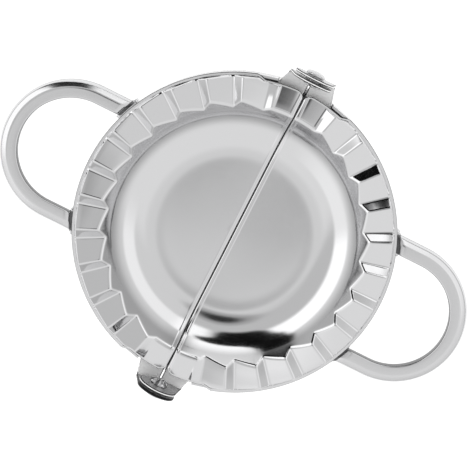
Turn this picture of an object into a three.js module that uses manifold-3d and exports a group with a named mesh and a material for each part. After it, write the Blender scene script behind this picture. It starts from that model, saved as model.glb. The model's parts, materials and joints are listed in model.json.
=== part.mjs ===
// Dumpling and ravioli press, open and lying flat: millimetres, +Z up.
// Two half plates with pleated rims and half bowls fold about a riveted hinge that runs along Y.
// The origin is on the plane that the press stands on, under the middle of the fold.
// The left half is the right half turned half a turn about Z.

import * as THREE from "three";
import { mergeVertices } from "three/addons/utils/BufferGeometryUtils.js";
import Module from "manifold-3d";

const wasm = await Module();
wasm.setup();

// Sheet, clearances and cuts
const SHEET = 0.8; // stainless sheet of plates, skirts and ears
const SEAT_GAP = 0.3; // between pieces that seat on or pass through each other
const FOLD_GAP = 0.5; // between the two halves along the fold
const HINGE_CLEARANCE = 0.4; // between an ear's disc and the other half's ledge
const OVERRUN = 2; // how far a cutting shape runs past what it cuts
const MERGE = 0.0005; // points closer than this are one vertex

// Levels
const FLOOR_CLEARANCE = 1.2; // under the bowls, when the skirts stand on a flat plane
const BOWL_DEPTH = 8.5; // floor below the pleats' middle level
const DOUGH_GAP = 3; // between the meshed pleats of the shut press
const FLOOR_Z = FLOOR_CLEARANCE + SHEET;
const PLEAT_MID_Z = FLOOR_Z + BOWL_DEPTH;
const AXIS_Z = PLEAT_MID_Z + DOUGH_GAP / 2; // hinge axis, in the parting plane of the shut press

// Pleated rim, along the arc
const PLEAT_COUNT = 13;
const PLEAT_PITCH_DEG = 13;
const STRIP_DEG = 3.7; // steep strip between two long faces
const END_STRIP_DEG = 3.1; // first and last strips, with half the rise
const PLEAT_RISE = 2.2; // from the low to the high edge of a steep strip
const FACE_STEPS = 3; // facets along a long face, so that the rim stays round
const END_PANEL_FALL = 1; // how much lower the outer end of a panel beside the fold lies than its inner end
const HALF_TURN_DEG = 180;

// Pleated rim and bowl, across the arc from the rim inward
const RIM_R = 47.5;
const BORDER_WIDTH = 0.8; // flat border round the pleats
const BORDER_DROP = 1.3; // border below the pleats' middle level
const FACE_DROP_WIDTH = 0.5; // where the faces' outer ends drop to the border
const FACE_LENGTH = 7.8; // a face at the pleats' middle level
const FACE_SWING = 1.9; // how much further out a face's inner end lies at a high edge than at a low one
const WALL_R = 18; // the bowl's wall curves up from its floor in this radius
const WALL_DEG = 49.3; // and then runs straight up to the faces at this slope
const WALL_STEPS = 8;
const CORNER_R = 2.5; // rounded corners of a plate at the fold
const RIM_STEPS = 72;
const CORNER_STEPS = 6;

// Skirt, which is the cutter's wall and what the press stands on
const RIM_OVERHANG = 0.2; // border beyond the skirt
const SLIT_DEG = 18.3; // end of the slit under the border, from the fold
const SLIT_GAP = 0.5;
const SKIRT_STEPS = 60;

// Hinge ears
const EAR_R = 5.9;
const EAR_STANDOFF = 2.2; // inner ear's inner face beyond the rim
const EAR_PLANE_GAP = 0.6; // between the inner and the outer ear
const EAR_FOOT_HALF = 8.9; // half width of both ears together, at the skirt
const EAR_NECK_HALF = 6.9; // the same where the ledge turns up
const LEDGE_RISE = 1.6; // from the skirt to the upright ear
const EAR_FOOT_HEIGHT = 1.1; // wall of the ear's foot below the ledge's inner end
const DISC_STEPS = 30;

// Rivets
const RIVET_R = 1.9;
const RIVET_HEAD_R = 2.9;
const RIVET_HEAD_HEIGHT = 1.3;
const RIVET_HEAD_EDGE = 0.25;
const RIVET_CRIMP_R = 2.5;
const RIVET_CRIMP_THICKNESS = 0.5;
const RIVET_DOME_STEPS = 5;
const RIVET_SIDES = 28;

// Handles
const HANDLE_WIDTH = 5.3; // in plan
const HANDLE_THICKNESS = 3.4;
const HANDLE_BEND_R = 18.65; // centre line of the half round bend
const HANDLE_LEG = 5.5; // from the rim to the centre of the bend
const HANDLE_Z = 5.4;
const HANDLE_EDGE_POWER = 2.6; // roundness of the section: 2 is an ellipse
const HANDLE_SIDES = 16;
const HANDLE_STEPS = 44;

// Handle feet
const FOOT_WIDTH = 8;
const FOOT_HEIGHT = 6.2;
const FOOT_THICKNESS = 0.9;
const FOOT_STEPS = 6;

// Worked out from the sizes above
const FOLD_X = FOLD_GAP / 2;
const BORDER_Z = PLEAT_MID_Z - BORDER_DROP;
const SKIRT_TOP_Z = BORDER_Z - SHEET;
const BORDER_R = RIM_R - BORDER_WIDTH;
const FACE_OUTER_R = BORDER_R - FACE_DROP_WIDTH;
const FACE_INNER_R = FACE_OUTER_R - FACE_LENGTH;
const WALL_SLOPE = THREE.MathUtils.degToRad(WALL_DEG);
const STRAIGHT_RISE = BOWL_DEPTH - WALL_R * (1 - Math.cos(WALL_SLOPE));
const FLOOR_R = FACE_INNER_R - STRAIGHT_RISE / Math.tan(WALL_SLOPE) - WALL_R * Math.sin(WALL_SLOPE);
const SKIRT_R = RIM_R - RIM_OVERHANG;
const SKIRT_INNER_R = SKIRT_R - SHEET;
const LEDGE_TOP_Z = AXIS_Z - EAR_R - HINGE_CLEARANCE;
const LEDGE_INNER_TOP_Z = LEDGE_TOP_Z - LEDGE_RISE;
const EAR_FOOT_Z = LEDGE_INNER_TOP_Z - EAR_FOOT_HEIGHT;
const INNER_EAR_FACE = RIM_R + EAR_STANDOFF;
const OUTER_EAR_FACE = INNER_EAR_FACE + SHEET + EAR_PLANE_GAP;
const EAR_TOP_Z = AXIS_Z + EAR_R;
const FOOT_INNER_R = SKIRT_R + SEAT_GAP;
const FOOT_OUTER_R = FOOT_INNER_R + FOOT_THICKNESS;
const HANDLE_ROOT_R = FOOT_OUTER_R + SEAT_GAP;
const HANDLE_BEND_X = RIM_R + HANDLE_LEG;

const rad = THREE.MathUtils.degToRad;

// A geometry's closed surface as a solid that can be cut and joined.
function solidOf(geometry) {
  const bare = new THREE.BufferGeometry();
  bare.setAttribute("position", geometry.getAttribute("position"));
  if (geometry.index) bare.setIndex(geometry.index);
  const merged = mergeVertices(bare, MERGE);
  const index = merged.index.array;
  const kept = [];
  for (let i = 0; i < index.length; i += 3) {
    const [a, b, c] = [index[i], index[i + 1], index[i + 2]];
    if (a !== b && b !== c && c !== a) kept.push(a, b, c);
  }
  return new wasm.Manifold(
    new wasm.Mesh({
      numProp: 3,
      vertProperties: new Float32Array(merged.getAttribute("position").array),
      triVerts: new Uint32Array(kept),
    }),
  );
}

// A solid's surface as a geometry with flat shaded faces.
function geometryOf(solid) {
  const mesh = solid.getMesh();
  const geometry = new THREE.BufferGeometry();
  geometry.setAttribute("position", new THREE.BufferAttribute(new Float32Array(mesh.vertProperties), 3));
  geometry.setIndex(new THREE.BufferAttribute(new Uint32Array(mesh.triVerts), 1));
  const faceted = geometry.toNonIndexed();
  faceted.computeVertexNormals();
  return faceted;
}

// A closed solid between two grids of points: outside[i][j] is seen with i to the right and j upward.
function gridSolid(outside, inside) {
  const columns = outside.length;
  const rows = outside[0].length;
  const points = [...outside.flat(2), ...inside.flat(2)];
  const triangles = [];
  const outer = (i, j) => i * rows + j;
  const inner = (i, j) => columns * rows + i * rows + j;
  const quad = (a, b, c, d) => triangles.push(a, b, c, a, c, d);
  for (let i = 0; i + 1 < columns; i += 1) {
    for (let j = 0; j + 1 < rows; j += 1) {
      quad(outer(i, j), outer(i + 1, j), outer(i + 1, j + 1), outer(i, j + 1));
      quad(inner(i, j), inner(i, j + 1), inner(i + 1, j + 1), inner(i + 1, j));
    }
    quad(outer(i, 0), inner(i, 0), inner(i + 1, 0), outer(i + 1, 0));
    quad(outer(i, rows - 1), outer(i + 1, rows - 1), inner(i + 1, rows - 1), inner(i, rows - 1));
  }
  for (let j = 0; j + 1 < rows; j += 1) {
    quad(outer(0, j), outer(0, j + 1), inner(0, j + 1), inner(0, j));
    quad(outer(columns - 1, j), inner(columns - 1, j), inner(columns - 1, j + 1), outer(columns - 1, j + 1));
  }
  const geometry = new THREE.BufferGeometry();
  geometry.setAttribute("position", new THREE.BufferAttribute(new Float32Array(points), 3));
  geometry.setIndex(triangles);
  return solidOf(geometry);
}

// A straight prism of an outline in plan, between two levels.
function planPrism(outline, low, high) {
  const shape = new THREE.Shape(outline.map(([x, y]) => new THREE.Vector2(x, y)));
  const geometry = new THREE.ExtrudeGeometry(shape, { depth: high - low, bevelEnabled: false });
  return solidOf(geometry.translate(0, 0, low));
}

// A straight prism along Y of an outline seen from the front, as x and z.
function frontPrism(outline, near, far) {
  const shape = new THREE.Shape(outline.map(([x, z]) => new THREE.Vector2(x, z)));
  const geometry = new THREE.ExtrudeGeometry(shape, { depth: far - near, bevelEnabled: false });
  return solidOf(geometry.rotateX(Math.PI / 2).translate(0, far, 0));
}

// A straight prism along X of an outline seen from the side, as y and z.
function sidePrism(outline, low, high) {
  const shape = new THREE.Shape(outline.map(([y, z]) => new THREE.Vector2(y, z)));
  const geometry = new THREE.ExtrudeGeometry(shape, { depth: high - low, bevelEnabled: false });
  return solidOf(geometry.rotateX(Math.PI / 2).rotateZ(Math.PI / 2).translate(low, 0, 0));
}

function box(from, to) {
  const size = to.map((value, k) => value - from[k]);
  const middle = to.map((value, k) => (value + from[k]) / 2);
  return solidOf(new THREE.BoxGeometry(...size).translate(...middle));
}

// An upright round bar about the Z axis.
function uprightCylinder(radius, low, high, sides) {
  const geometry = new THREE.CylinderGeometry(radius, radius, high - low, sides);
  return solidOf(geometry.rotateX(Math.PI / 2).translate(0, 0, (high + low) / 2));
}

// Points along an arc, as plan or front coordinates, both ends included.
function arcPoints(centre, radius, fromAngle, toAngle, steps) {
  return Array.from({ length: steps + 1 }, (_, i) => {
    const angle = fromAngle + ((toAngle - fromAngle) * i) / steps;
    return [centre[0] + radius * Math.cos(angle), centre[1] + radius * Math.sin(angle)];
  });
}

// Angles from the X axis, in degrees, at which the rim's level changes, with the level there.
// Clockwise from above, each steep strip rises and each long face falls. The fall is outward.
function pleatFolds() {
  const high = PLEAT_RISE / 2;
  const quarter = HALF_TURN_DEG / 2;
  const last = PLEAT_COUNT - 1;
  const panel = { level: 0, fall: END_PANEL_FALL };
  const folds = [{ angle: quarter, ...panel }];
  for (let i = 0; i < PLEAT_COUNT; i += 1) {
    const middle = (last / 2 - i) * PLEAT_PITCH_DEG;
    const half = (i === 0 || i === last ? END_STRIP_DEG : STRIP_DEG) / 2;
    folds.push({ angle: middle + half, ...(i === 0 ? panel : { level: -high, fall: 0 }) });
    folds.push({ angle: middle - half, ...(i === last ? panel : { level: high, fall: 0 }) });
  }
  folds.push({ angle: -quarter, ...panel });
  return folds;
}

// The rim's folds with the long faces cut into steps, running anticlockwise.
function pleatColumns() {
  const folds = pleatFolds().reverse();
  const columns = [folds[0]];
  for (let i = 1; i < folds.length; i += 1) {
    const [from, to] = [folds[i - 1], folds[i]];
    const isStrip = i % 2 === 0;
    const steps = isStrip ? 1 : FACE_STEPS;
    for (let k = 1; k <= steps; k += 1) {
      const share = k / steps;
      columns.push({
        angle: THREE.MathUtils.lerp(from.angle, to.angle, share),
        level: THREE.MathUtils.lerp(from.level, to.level, share),
        fall: THREE.MathUtils.lerp(from.fall, to.fall, share),
      });
    }
  }
  return columns;
}

// The plate's upper surface across the arc, as radius and height, on one line of the pleats.
function plateProfile({ level, fall }) {
  const profile = [[0, FLOOR_Z]];
  for (let i = 0; i <= WALL_STEPS; i += 1) {
    const angle = (WALL_SLOPE * i) / WALL_STEPS;
    profile.push([FLOOR_R + WALL_R * Math.sin(angle), FLOOR_Z + WALL_R * (1 - Math.cos(angle))]);
  }
  const innerR = FACE_INNER_R + (FACE_SWING * level) / PLEAT_RISE;
  profile.push([innerR, PLEAT_MID_Z + level]);
  profile.push([FACE_OUTER_R, PLEAT_MID_Z + level - fall]);
  profile.push([BORDER_R, BORDER_Z]);
  profile.push([RIM_R + OVERRUN, BORDER_Z]);
  return profile;
}

// The same profile on the sheet's lower side. The border and the middle of the floor stay flat.
function underProfile(profile) {
  const last = profile.length - 1;
  return profile.map(([r, z], i) => {
    if (i === 0 || i === last) return [r, z - SHEET];
    if (i === last - 1) return [r - SHEET / 2, z - SHEET];
    const [before, after] = [profile[i - 1], profile[i + 1]];
    const slopeIn = Math.atan2(z - before[1], r - before[0]);
    const slopeOut = Math.atan2(after[1] - z, after[0] - r);
    const slope = (slopeIn + slopeOut) / 2;
    return [r + SHEET * Math.sin(slope), z - SHEET * Math.cos(slope)];
  });
}

// Half a disc with rounded corners at the fold, seen from above.
function plateOutline() {
  const cornerX = FOLD_X + CORNER_R;
  const cornerY = Math.sqrt((RIM_R - CORNER_R) ** 2 - cornerX ** 2);
  const turn = Math.atan2(cornerY, cornerX);
  return [
    ...arcPoints([cornerX, -cornerY], CORNER_R, Math.PI, 2 * Math.PI - turn, CORNER_STEPS).slice(0, -1),
    ...arcPoints([0, 0], RIM_R, -turn, turn, RIM_STEPS).slice(0, -1),
    ...arcPoints([cornerX, cornerY], CORNER_R, turn, Math.PI, CORNER_STEPS),
  ];
}

// Pleated plate with its half bowl, one pressed sheet.
function plate() {
  const columns = pleatColumns();
  const spread = (profile, angle) => profile.map(([r, z]) => [r * Math.cos(angle), r * Math.sin(angle), z]);
  const surface = (profileAt) =>
    columns.map((column) => spread(profileAt(column), rad(column.angle)).reverse());
  const upper = surface(plateProfile);
  const lower = surface((column) => underProfile(plateProfile(column)));
  const sheet = gridSolid(upper, lower);
  return sheet.intersect(planPrism(plateOutline(), -OVERRUN, AXIS_Z + OVERRUN));
}

// A piece of upright round wall between two radii, two angles and two levels.
function wallSector(innerR, outerR, fromAngle, toAngle, low, high, steps) {
  const wall = (radius) =>
    arcPoints([0, 0], radius, fromAngle, toAngle, steps).map(([x, y]) => [
      [x, y, low],
      [x, y, high],
    ]);
  return gridSolid(wall(outerR), wall(innerR));
}

// Cutter wall under the border. It is notched where the ears stand and slit beside them.
function skirt() {
  const end = Math.acos(FOLD_X / SKIRT_INNER_R);
  const wall = wallSector(SKIRT_INNER_R, SKIRT_R, -end, end, 0, SKIRT_TOP_Z, SKIRT_STEPS);
  const slitX = SKIRT_R * Math.sin(rad(SLIT_DEG));
  let cut = wall;
  for (const side of [-1, 1]) {
    const nearY = side * (SKIRT_R / 2);
    const farY = side * (SKIRT_R + OVERRUN);
    const [lowY, highY] = [Math.min(nearY, farY), Math.max(nearY, farY)];
    const top = SKIRT_TOP_Z + OVERRUN;
    cut = cut.subtract(box([-OVERRUN, lowY, EAR_FOOT_Z], [EAR_FOOT_HALF, highY, top]));
    cut = cut.subtract(box([-OVERRUN, lowY, SKIRT_TOP_Z - SLIT_GAP], [slitX, highY, top]));
  }
  return cut;
}

// Ear at the +Y end of the right half, with its inner face at a given distance from the middle:
// a foot on the skirt, a ledge that leans outward, and an upright tongue round the rivet.
function ear(face) {
  const back = face + SHEET;
  const footAngle = Math.asin(EAR_FOOT_HALF / SKIRT_R);
  const quarter = Math.PI / 2;
  const foldAngle = Math.acos(FOLD_X / SKIRT_INNER_R);
  const footEndY = SKIRT_INNER_R * Math.cos(footAngle);
  const sheetPath = [
    [footEndY, LEDGE_INNER_TOP_Z - SHEET],
    [back, LEDGE_TOP_Z - SHEET],
    [back, EAR_TOP_Z + OVERRUN],
    [face, EAR_TOP_Z + OVERRUN],
    [face, LEDGE_TOP_Z],
    [footEndY, LEDGE_INNER_TOP_Z],
  ];
  const bend = sidePrism(sheetPath, -EAR_FOOT_HALF, EAR_FOOT_HALF);
  const discBottom = [FOLD_X, AXIS_Z - Math.sqrt(EAR_R ** 2 - FOLD_X ** 2)];
  const tongue = [
    ...arcPoints([0, AXIS_Z], EAR_R, 0, 1.5 * Math.PI, DISC_STEPS).slice(0, -1),
    discBottom,
    [FOLD_X, 0],
    [EAR_FOOT_HALF, 0],
    [EAR_FOOT_HALF, LEDGE_TOP_Z],
    [EAR_NECK_HALF, LEDGE_TOP_Z],
  ];
  const spread = [
    [FOLD_X, 0],
    [EAR_FOOT_HALF, 0],
    [EAR_FOOT_HALF, SKIRT_R * Math.cos(footAngle)],
    [EAR_NECK_HALF, face],
    [EAR_NECK_HALF, back + OVERRUN],
    [-EAR_NECK_HALF, back + OVERRUN],
    [-EAR_NECK_HALF, face],
    [FOLD_X, face],
  ];
  const foot = wallSector(
    SKIRT_INNER_R,
    SKIRT_R,
    quarter - footAngle,
    foldAngle,
    EAR_FOOT_Z,
    LEDGE_INNER_TOP_Z,
    FOOT_STEPS,
  );
  const holeOutline = arcPoints([0, AXIS_Z], RIVET_R + SEAT_GAP, 0, 2 * Math.PI, DISC_STEPS).slice(1);
  const hole = frontPrism(holeOutline, 0, back + OVERRUN);
  return bend
    .intersect(frontPrism(tongue, 0, back + OVERRUN))
    .intersect(planPrism(spread, 0, EAR_TOP_Z + OVERRUN))
    .subtract(uprightCylinder(SKIRT_INNER_R, 0, EAR_TOP_Z, RIM_STEPS * 2))
    .add(foot)
    .subtract(hole);
}

// Rivet at the +Y end, turned about Y: crimped end, shaft and domed head.
function rivet() {
  const crimpEnd = INNER_EAR_FACE - SEAT_GAP;
  const headSeat = OUTER_EAR_FACE + SHEET + SEAT_GAP;
  const domeStart = headSeat + RIVET_HEAD_EDGE;
  const domeHeight = RIVET_HEAD_HEIGHT - RIVET_HEAD_EDGE;
  const profile = [
    new THREE.Vector2(0, crimpEnd - RIVET_CRIMP_THICKNESS),
    new THREE.Vector2(RIVET_CRIMP_R, crimpEnd - RIVET_CRIMP_THICKNESS),
    new THREE.Vector2(RIVET_CRIMP_R, crimpEnd),
    new THREE.Vector2(RIVET_R, crimpEnd),
    new THREE.Vector2(RIVET_R, headSeat),
    new THREE.Vector2(RIVET_HEAD_R, headSeat),
  ];
  for (let i = 0; i <= RIVET_DOME_STEPS; i += 1) {
    const angle = (Math.PI / 2) * (i / RIVET_DOME_STEPS);
    const radius = i === RIVET_DOME_STEPS ? 0 : RIVET_HEAD_R * Math.cos(angle);
    profile.push(new THREE.Vector2(radius, domeStart + domeHeight * Math.sin(angle)));
  }
  return solidOf(new THREE.LatheGeometry(profile, RIVET_SIDES).translate(0, 0, AXIS_Z));
}

// Centre line of the right handle: two straight legs and a half round bend.
class HandlePath extends THREE.Curve {
  getPoint(t) {
    const leg = HANDLE_BEND_X - SKIRT_R / 2;
    const bend = Math.PI * HANDLE_BEND_R;
    const along = t * (2 * leg + bend);
    if (along < leg) return new THREE.Vector3(SKIRT_R / 2 + along, -HANDLE_BEND_R, HANDLE_Z);
    if (along > leg + bend) {
      const left = along - leg - bend;
      return new THREE.Vector3(HANDLE_BEND_X - left, HANDLE_BEND_R, HANDLE_Z);
    }
    const angle = (along - leg) / HANDLE_BEND_R - Math.PI / 2;
    const x = HANDLE_BEND_X + HANDLE_BEND_R * Math.cos(angle);
    return new THREE.Vector3(x, HANDLE_BEND_R * Math.sin(angle), HANDLE_Z);
  }
}

// Rounded strap bent into a U, with its ends cut to the round of the feet.
function handle() {
  const section = Array.from({ length: HANDLE_SIDES }, (_, i) => {
    const angle = (2 * Math.PI * i) / HANDLE_SIDES;
    const squash = (value) => Math.sign(value) * Math.abs(value) ** (2 / HANDLE_EDGE_POWER);
    const across = (HANDLE_WIDTH / 2) * squash(Math.sin(angle));
    return new THREE.Vector2((HANDLE_THICKNESS / 2) * squash(Math.cos(angle)), across);
  });
  const strap = new THREE.ExtrudeGeometry(new THREE.Shape(section), {
    steps: HANDLE_STEPS,
    extrudePath: new HandlePath(),
  });
  return solidOf(strap).subtract(uprightCylinder(HANDLE_ROOT_R, -OVERRUN, AXIS_Z, RIM_STEPS * 2));
}

// Welded foot between the skirt and one leg of the right handle: side is 1 toward +Y and -1 toward -Y.
function handleFoot(side) {
  const middle = side * Math.asin(HANDLE_BEND_R / HANDLE_ROOT_R);
  const half = FOOT_WIDTH / 2 / SKIRT_R;
  const [from, to] = [middle - half, middle + half];
  const low = HANDLE_Z - FOOT_HEIGHT / 2 - SEAT_GAP;
  return wallSector(FOOT_INNER_R, FOOT_OUTER_R, from, to, low, low + FOOT_HEIGHT, FOOT_STEPS);
}

const mirroredAcrossXZ = (solid) => solid.mirror([0, 1, 0]);
const halfTurned = (solid) => solid.scale([-1, -1, 1]);

// Finishes: polished stainless sheet, brighter rivets and softer handles
const polishedSheet = { color: 0xc9cbcd, roughness: 0.18, metalness: 1 };
const pressedPlate = { color: 0xd2d4d6, roughness: 0.14, metalness: 1 };
const rivetSteel = { color: 0xb9bbbe, roughness: 0.22, metalness: 1 };
const handleSteel = { color: 0xc4c6c8, roughness: 0.24, metalness: 1 };

const press = new THREE.Group();
press.name = "ravioli_press";

function addPiece(group, name, solid, finish) {
  const piece = new THREE.Mesh(geometryOf(solid), new THREE.MeshStandardMaterial(finish));
  piece.name = name;
  group.add(piece);
}

// One half: plate, skirt, two ears, handle and its feet.
const pieces = [
  { name: "plate", solid: plate(), finish: pressedPlate },
  { name: "skirt", solid: skirt(), finish: polishedSheet },
  { name: "outer_hinge_ear", solid: ear(OUTER_EAR_FACE), finish: polishedSheet },
  { name: "inner_hinge_ear", solid: mirroredAcrossXZ(ear(INNER_EAR_FACE)), finish: polishedSheet },
  { name: "handle", solid: handle(), finish: handleSteel },
  { name: "handle_foot_a", solid: handleFoot(1), finish: handleSteel },
  { name: "handle_foot_b", solid: handleFoot(-1), finish: handleSteel },
];

const rightHalf = new THREE.Group();
const leftHalf = new THREE.Group();
for (const { name, solid, finish } of pieces) {
  addPiece(rightHalf, `right_${name}`, solid, finish);
  addPiece(leftHalf, `left_${name}`, halfTurned(solid), finish);
}

const rivets = new THREE.Group();
addPiece(rivets, "rear_rivet", rivet(), rivetSteel);
addPiece(rivets, "front_rivet", halfTurned(rivet()), rivetSteel);

press.add(leftHalf, rightHalf, rivets);

export default press;
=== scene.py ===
"""An open stainless steel press for ravioli and dumplings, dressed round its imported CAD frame.

Sizes are in millimetres, and each finished mesh is in metres. +X runs across the fold towards the right
half's handle, +Y along the fold and +Z up. The left half is the right half turned half a turn about Z.
"""

from __future__ import annotations

import json
import logging
import math
from collections.abc import Callable
from dataclasses import dataclass, field
from enum import Enum

import bmesh
import bpy
import numpy as np
from mathutils import Matrix, Vector

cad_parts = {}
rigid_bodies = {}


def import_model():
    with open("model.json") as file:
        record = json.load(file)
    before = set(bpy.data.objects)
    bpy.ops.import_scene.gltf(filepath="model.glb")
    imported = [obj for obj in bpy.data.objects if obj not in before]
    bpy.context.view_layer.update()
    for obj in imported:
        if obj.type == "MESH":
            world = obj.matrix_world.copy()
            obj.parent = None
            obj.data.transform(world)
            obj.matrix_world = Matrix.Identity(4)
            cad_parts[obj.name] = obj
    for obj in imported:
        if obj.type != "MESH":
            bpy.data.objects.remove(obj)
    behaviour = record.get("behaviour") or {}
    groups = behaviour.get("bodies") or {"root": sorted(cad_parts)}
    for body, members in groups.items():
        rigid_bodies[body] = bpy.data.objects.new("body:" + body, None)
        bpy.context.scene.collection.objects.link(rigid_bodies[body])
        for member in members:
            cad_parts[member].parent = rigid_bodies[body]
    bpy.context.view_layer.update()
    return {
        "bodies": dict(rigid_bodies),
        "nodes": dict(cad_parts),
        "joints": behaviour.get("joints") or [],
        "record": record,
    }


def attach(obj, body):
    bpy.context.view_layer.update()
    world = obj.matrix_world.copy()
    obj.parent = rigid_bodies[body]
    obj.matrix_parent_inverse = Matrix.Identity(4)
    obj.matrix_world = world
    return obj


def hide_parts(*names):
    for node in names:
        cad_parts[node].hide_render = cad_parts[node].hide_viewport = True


LOG = logging.getLogger("dumpling_press")
MM = 0.001
QUARTER_TURN = math.pi / 2

# Points of a finished piece that lie closer than this, in millimetres, become one.
MERGE_MM = 0.0004
# The most of a corner's shorter leg that a round may take.
LEG_SHARE = 0.45

# Settings that many nodes share.
ADD = {"operation": "ADD"}
SUBTRACT = {"operation": "SUBTRACT"}
MULTIPLY = {"operation": "MULTIPLY"}
DIVIDE = {"operation": "DIVIDE"}
MAXIMUM = {"operation": "MAXIMUM"}
ARCTAN2 = {"operation": "ARCTAN2"}
LENGTH = {"operation": "LENGTH"}
DOT_PRODUCT = {"operation": "DOT_PRODUCT"}
SMOOTHSTEP = {"interpolation_type": "SMOOTHSTEP"}

Point = tuple[float, float, float]


class Half(Enum):
    """One half of the press, with the sign that turns the right half's points onto it."""

    LEFT = -1
    RIGHT = 1

    @property
    def word(self) -> str:
        """The half's name, as nodes and pieces start with it."""
        return self.name.lower()

    @property
    def body(self) -> str:
        """The CAD body that the half's pieces ride on."""
        return f"{self.word}_half"


class Grain(Enum):
    """Which way the fine lines of a steel surface run."""

    ROUND_THE_BOWL = "round the bowl"
    ROUND_THE_SKIRT = "round the skirt"
    ALONG_THE_STRAP = "along the strap"
    NONE = "none"


# ---------------------------------------------------------------------------
# Shared sizes
# ---------------------------------------------------------------------------


@dataclass(frozen=True)
class PressSizes:
    """Sizes that several pieces share: radii from the press's middle, and levels from where it stands."""

    sheet: float = 0.8
    axis_z: float = 12.0
    fold_x: float = 0.13
    pleat_mid_z: float = 10.5
    floor_z: float = 2.0
    rim_r: float = 47.5
    border_z: float = 9.2
    slit_deg: float = 18.3
    skirt_r: float = 47.3
    skirt_top_z: float = 8.4
    inner_ear_face: float = 49.7
    outer_ear_face: float = 51.1
    seat_gap: float = 0.3
    handle_bend_x: float = 53.0
    handle_bend_r: float = 18.65
    handle_z: float = 5.4
    handle_root_r: float = 47.9

    @property
    def skirt_inner_r(self) -> float:
        """Inner radius of the skirt's wall."""
        return self.skirt_r - self.sheet

    @property
    def handle_root_x(self) -> float:
        """Distance from the fold at which a strap's middle line starts."""
        return math.sqrt(self.handle_root_r**2 - self.handle_bend_r**2)

    @property
    def rivet_seat(self) -> float:
        """Distance from the press's middle to the underside of a rivet's head."""
        return self.outer_ear_face + self.sheet + self.seat_gap

    @property
    def crimp_seat(self) -> float:
        """Distance from the press's middle to the back of a rivet's crimp."""
        return self.inner_ear_face - self.seat_gap


SIZES = PressSizes()


# ---------------------------------------------------------------------------
# Mesh and node helpers
# ---------------------------------------------------------------------------


@dataclass
class Shell:
    """Points, in millimetres, and faces of one closed piece."""

    points: list[Point] = field(default_factory=list)
    faces: list[tuple[int, ...]] = field(default_factory=list)

    def row(self, points: list[Point]) -> list[int]:
        """Adds a row of points.

        Args:
            points: The points.

        Returns:
            Their indices.
        """
        start = len(self.points)
        self.points.extend(points)
        return list(range(start, len(self.points)))

    def band(self, first: list[int], second: list[int], closed: bool = False) -> None:
        """Joins two rows of the same length by four-sided faces.

        Args:
            first: Indices of one row.
            second: Indices of the next row.
            closed: Whether the rows run round to their own start.
        """
        count = len(first)
        for i in range(count if closed else count - 1):
            j = (i + 1) % count
            self.faces.append((first[i], first[j], second[j], second[i]))

    def sheet(self, rows: list[list[Point]], closed: bool = False) -> list[list[int]]:
        """Adds a grid of points and the faces between its rows.

        Args:
            rows: Rows of points, all of the same length.
            closed: Whether each row runs round to its own start.

        Returns:
            The indices of each row.
        """
        indices = [self.row(points) for points in rows]
        for first, second in zip(indices, indices[1:]):
            self.band(first, second, closed)
        return indices

    def bar(self, rows: list[list[Point]]) -> None:
        """Adds a run of closed sections, with a face over its first and its last one.

        Args:
            rows: The sections, all of the same length.
        """
        rings = self.sheet(rows, closed=True)
        self.faces.extend((tuple(rings[0]), tuple(rings[-1])))

    def piece(self, name: str, half: Half, sharp_deg: float) -> bpy.types.Object:
        """Makes the closed mesh object of these points.

        Args:
            name: The piece's name.
            half: The half that the points are turned onto.
            sharp_deg: Edges that turn by more than this stay sharp.

        Returns:
            The object, with its place in its mesh.
        """
        turn = np.array([half.value, half.value, 1.0])
        mesh = bpy.data.meshes.new(name)
        mesh.from_pydata((np.array(self.points) * turn * MM).tolist(), [], self.faces)
        return finished_piece(name, mesh, sharp_deg)


def finished_piece(name: str, mesh: bpy.types.Mesh, sharp_deg: float) -> bpy.types.Object:
    """Merges a mesh's doubles, turns its faces outwards, smooths it and makes its object.

    Args:
        name: The piece's name.
        mesh: The mesh, in metres.
        sharp_deg: Edges that turn by more than this stay sharp.

    Returns:
        The object, linked to the scene.
    """
    work = bmesh.new()
    work.from_mesh(mesh)
    bmesh.ops.remove_doubles(work, verts=work.verts, dist=MERGE_MM * MM)
    bmesh.ops.dissolve_degenerate(work, edges=work.edges, dist=MERGE_MM * MM)
    bmesh.ops.recalc_face_normals(work, faces=work.faces)
    work.to_mesh(mesh)
    work.free()
    mesh.shade_smooth()
    mesh.set_sharp_from_angle(angle=math.radians(sharp_deg))
    piece = bpy.data.objects.new(name, mesh)
    bpy.context.scene.collection.objects.link(piece)
    return piece


def dress(
    piece: bpy.types.Object, body: str, slot: str, material: bpy.types.Material, *nodes: str
) -> None:
    """Gives a piece its material and body, and lets it stand for CAD nodes.

    Args:
        piece: The finished piece.
        body: The CAD body that it rides on.
        slot: The record's material slot; not used.
        material: Its Blender material.
        *nodes: The CAD nodes that it replaces.
    """
    piece.data.materials.clear()
    piece.data.materials.append(material)
    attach(piece, body)
    if nodes:
        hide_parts(*nodes)
    LOG.info("%s: %d faces, on %s", piece.name, len(piece.data.polygons), body)


def dull_faces(
    piece: bpy.types.Object, finish: bpy.types.Material, is_shaded: Callable[[Vector, Vector], bool]
) -> None:
    """Gives the faces that a rule picks one more, darker finish, which paints shade on them.

    Args:
        piece: The dressed piece.
        finish: The darker finish, painted shade.
        is_shaded: The rule, from a face's middle in millimetres and its direction.
    """
    piece.data.materials.append(finish)
    last = len(piece.data.materials) - 1
    for face in piece.data.polygons:
        if is_shaded(face.center / MM, face.normal):
            face.material_index = last


def linear_colour(code: str) -> tuple[float, float, float, float]:
    """Turns an sRGB hex value into the linear colour that a shader takes.

    Args:
        code: The value, as a hash and six hex digits.

    Returns:
        Red, green, blue and an alpha of 1.
    """
    shares = [int(code[i : i + 2], 16) / 255 for i in (1, 3, 5)]
    linear = [s / 12.92 if s <= 0.04045 else ((s + 0.055) / 1.055) ** 2.4 for s in shares]
    return (linear[0], linear[1], linear[2], 1.0)


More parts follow.
